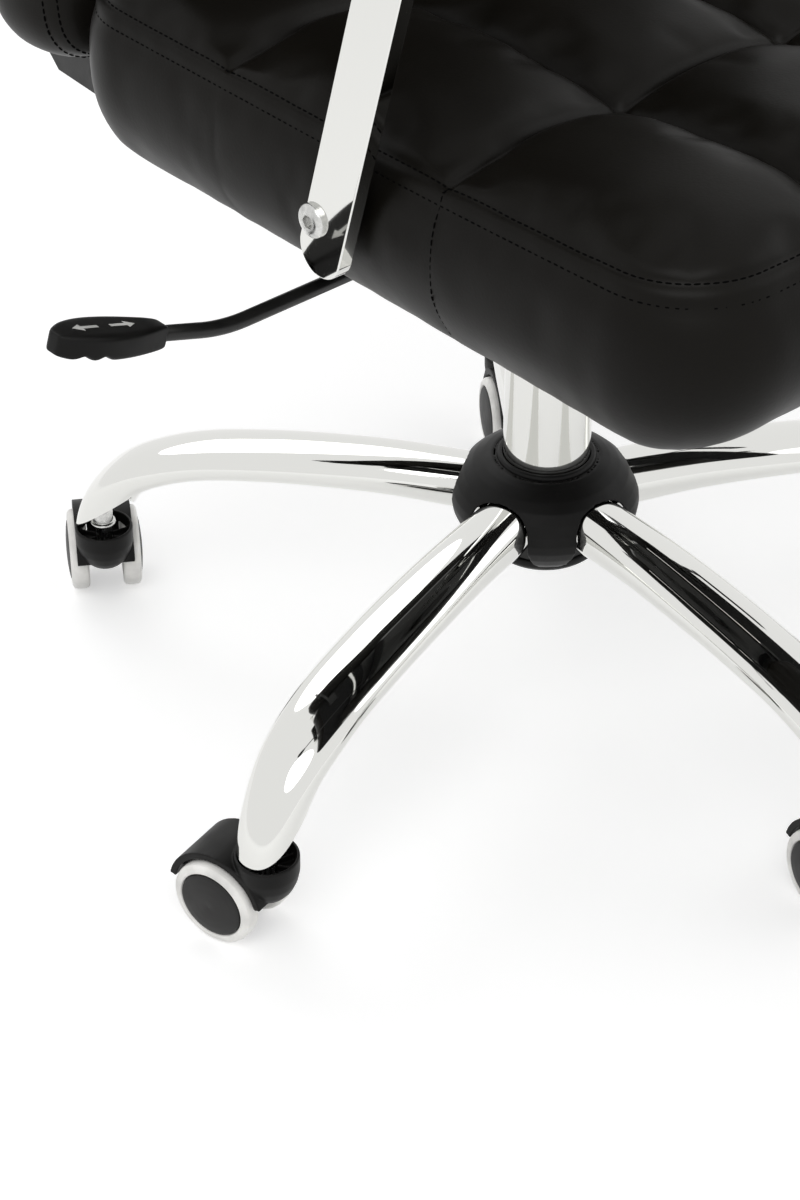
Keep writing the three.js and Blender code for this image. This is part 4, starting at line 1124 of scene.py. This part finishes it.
def bolt_head(name, centre, outer, way, body):
    """A domed head with a six-sided socket, facing out along x."""
    profile = [(radius, outer + way * out) for radius, out in BOLT_PROFILE]
    head = lathe(name, profile, "x", centre, ZINC, 64, round_by=0.35)
    low, high = sorted((outer + way * SOCKET_FLOOR, outer + way * SOCKET_END))
    carve(head, [cutter("socket", arc(centre, SOCKET_RADIUS, 0, 300, 5), "x", low, high, ZINC)])
    soften(head, 0.15, 1, 40)
    set_out(head, body)


def flat_bar(name, start, end, half, faces, way, body, node):
    """A flat bar with round ends between its inner and outer face."""
    low, high = sorted(way * face for face in faces)
    set_out(slab(name, capsule(start, end, half), "x", low, high, CHROME, 0.7, 4), body, [node])


def make_arms():
    for way, label in ((-1, "right"), (1, "left")):
        body = f"arm_{label}"
        flat_bar(
            f"strut_bar_{label}", STRUT_FOOT, STRUT_TOP, STRUT_HALF, STRUT_FACES, way,
            f"strut_{label}", f"arm_strut_{label}",
        )
        bolt_head(f"strut_bolt_{label}", STRUT_BOLT, way * STRUT_BOLT_FACE, way, "seat")
        profile = [(radius, way * out) for radius, out in SHANK_PROFILE]
        shank = lathe(f"bolt_shank_{label}", profile, "x", STRUT_BOLT, ZINC, 48, round_by=0.2)
        set_out(shank, "seat", [f"arm_bolt_{label}"])
        flat_bar(
            f"rail_bar_{label}", RAIL_REAR, RAIL_FRONT, RAIL_HALF, RAIL_FACES, way, body, f"arm_rail_{label}",
        )
        for spot, stud in ((RAIL_REAR, REAR_STUD), (STRUT_TOP, FRONT_STUD)):
            end = f"{label}_{spot[0]}".replace("-", "m")
            profile = [(radius, way * out) for radius, out in stud]
            piece = lathe(f"rail_stud_{end}", profile, "x", spot, ZINC, 40, round_by=0.2)
            set_out(piece, body)
            bolt_head(f"rail_bolt_{end}", spot, way * RAIL_BOLT_FACE, way, body)
        across = [way * ARM_MIDDLE - ARM_HALF, way * ARM_MIDDLE + ARM_HALF]
        side = pad_sides(ARM_TOP, ARM_FOOT, 3, 4)
        pad = Pad(f"arm_rest_{label}", across, ARM_ALONG, 5, 22, side, 8, 0, 2)
        upholster(pad, body, f"arm_pad_{label}", (2, 4, 0.01, 12))
        stitch_row(f"arm_stitch_{label}", pad, pad.rings[2], body)


# Footrest
FOOTREST_PATH = [(-125, 70, 410), (-125, -288, 410), (125, -288, 410), (125, 70, 410)]
FOOTREST_TUBE = 6
FOOTREST_TOP, FOOTREST_DEPTH = 396.7, 18
FOOTREST_ACROSS, FOOTREST_ALONG = [-163, -54, 54, 163], [-263, -137]


def footrest_place(points):
    """The footrest's pad hangs face down when it is stowed."""
    return points * (1, 1, -1) + (0, 0, FOOTREST_TOP)


def make_footrest():
    points, faces = sweep(rounded(FOOTREST_PATH, 24, 14), FOOTREST_TUBE, 32, (0, 0, 1))
    tube = add_object("footrest_tube", points, faces, CHROME)
    set_out(tube, "footrest", ["footrest_frame"])
    side = pad_sides(FOOTREST_DEPTH, 0.4, 3, 4)
    pad = Pad(
        "footrest_cushion_pad", FOOTREST_ACROSS, FOOTREST_ALONG, 6, 20, side, 7, 2.5, 1,
        to_world=footrest_place,
    )
    upholster(pad, "footrest_cushion", "footrest_pad", (3, 4, 0.02, 14))
    stitch_row("footrest_stitch", pad, pad.rings[2], "footrest_cushion")


# CAD nodes that stay, with better materials and softened edges
FINISHES = {
    "tilt_housing": (PAINT, 0.8), "seat_plate": (PAINT, 0.6), "tilt_pin": (ZINC, 0.5),
    "lift_rod": (ZINC, 0.5), "tension_knob": (PLASTIC, 1.2), "seat_board": (LINING, 0.5),
    "recline_hinge_left": (PAINT, 0.5), "recline_hinge_right": (PAINT, 0.5),
    "back_bracket_left": (PAINT, 0.5), "back_bracket_right": (PAINT, 0.5),
    "footrest_guides": (PAINT, 0.5), "footrest_plate": (PAINT, 0.4),
    "recline_handle": (PLASTIC, 1.5), "hub_core": (PAINT, 0.5),
}


def dress_nodes():
    for name, (material, width) in FINISHES.items():
        node = nodes[name]
        node.data.materials.clear()
        node.data.materials.append(material)
        soften(node, width, 2, 40)


# Studio
WHITE = (1, 1, 1, 1)
WORLD_LIGHT = 0.62
FLOOR_HALF = 8
FLOOR_GLOW = 0.42
FADE_START, FADE_END = 0.7, 2.0
# Name, place, size, power and aim
LAMPS = (
    ("key", (-1.6, -1.2, 2.6), 2.2, 26, (0, 0, 0.4)),
    ("fill", (2.2, -1.6, 2.0), 2.4, 12, (0, 0, 0.4)),
    ("back", (0.6, 2.4, 2.4), 2.2, 18, (0, 0, 0.5)),
)


def wired(tree, kind, *feeds, operation=None):
    """The outputs of a node whose first inputs are joined to the feeds."""
    node = tree.nodes.new(kind)
    if operation:
        node.operation = operation
    for feed, socket in zip(feeds, node.inputs):
        tree.links.new(feed, socket)
    return node.outputs


def background_rays(tree):
    """1 for the rays that meet the pale background, 0 for those that light the object."""
    rays = tree.nodes.new("ShaderNodeLightPath").outputs
    pair = (rays["Is Camera Ray"], rays["Is Glossy Ray"])
    share = wired(tree, "ShaderNodeMath", *pair, operation="MAXIMUM")[0]
    return wired(tree, "ShaderNodeMath", share, rays["Is Transmission Ray"], operation="MAXIMUM")[0]


def make_studio():
    scene = bpy.context.scene
    scene.view_settings.view_transform = "Standard"
    world = bpy.data.worlds.new("studio")
    scene.world = world
    world.use_nodes = True
    tree = world.node_tree
    tree.nodes.clear()
    light, seen = [
        add_node(tree, "ShaderNodeBackground", Color=WHITE, Strength=strength).outputs[0]
        for strength in (WORLD_LIGHT, 1.0)
    ]
    shade = wired(tree, "ShaderNodeMixShader", background_rays(tree), light, seen)[0]
    wired(tree, "ShaderNodeOutputWorld", shade)
    floor_data = bpy.data.meshes.new("floor")
    corners = [(x * FLOOR_HALF, y * FLOOR_HALF, 0) for x, y in ((-1, -1), (1, -1), (1, 1), (-1, 1))]
    floor_data.from_pydata(corners, [], [(0, 1, 2, 3)])
    floor_data.materials.append(floor_material())
    new_object("floor", floor_data)
    for name, spot, size, power, aim in LAMPS:
        data = bpy.data.lights.new(name, "AREA")
        data.shape = "DISK"
        data.size = size
        data.energy = power
        lamp = new_object(name, data)
        lamp.location = spot
        lamp.rotation_euler = (Vector(aim) - Vector(spot)).to_track_quat("-Z", "Y").to_euler()


def floor_material():
    """A pale floor that fades to pure white away from the object and keeps its shadow."""
    material = bpy.data.materials.new("pale_floor")
    material.use_nodes = True
    tree = material.node_tree
    tree.nodes.clear()
    rays = background_rays(tree)
    matt = add_node(tree, "ShaderNodeBsdfDiffuse", Color=(0.8, 0.8, 0.8, 1))
    glow = add_node(tree, "ShaderNodeEmission", Color=WHITE)
    scale = tree.nodes.new("ShaderNodeMath")
    scale.operation = "MULTIPLY"
    scale.inputs[1].default_value = FLOOR_GLOW
    tree.links.new(rays, scale.inputs[0])
    tree.links.new(scale.outputs[0], glow.inputs["Strength"])
    near = wired(tree, "ShaderNodeAddShader", matt.outputs[0], glow.outputs[0])[0]
    far = add_node(tree, "ShaderNodeEmission", Color=WHITE, Strength=1.0).outputs[0]
    place = tree.nodes.new("ShaderNodeTexCoord").outputs["Object"]
    distance = wired(tree, "ShaderNodeVectorMath", place, operation="LENGTH")["Value"]
    fade = add_node(tree, "ShaderNodeMapRange", From_Min=FADE_START, From_Max=FADE_END)
    fade.interpolation_type = "SMOOTHSTEP"
    tree.links.new(distance, fade.inputs["Value"])
    share = wired(tree, "ShaderNodeMath", fade.outputs[0], rays, operation="MULTIPLY")[0]
    shade = wired(tree, "ShaderNodeMixShader", share, near, far)[0]
    wired(tree, "ShaderNodeOutputMaterial", shade)
    return material


make_studio()
for leg_number, leg_angle in enumerate(LEG_ANGLES, 1):
    make_leg(leg_number, leg_angle)
make_hub()
make_casters()
make_lever()
make_seat()
make_back()
make_back_shell()
make_arms()
make_footrest()
dress_nodes()

bpy.context.view_layer.update()
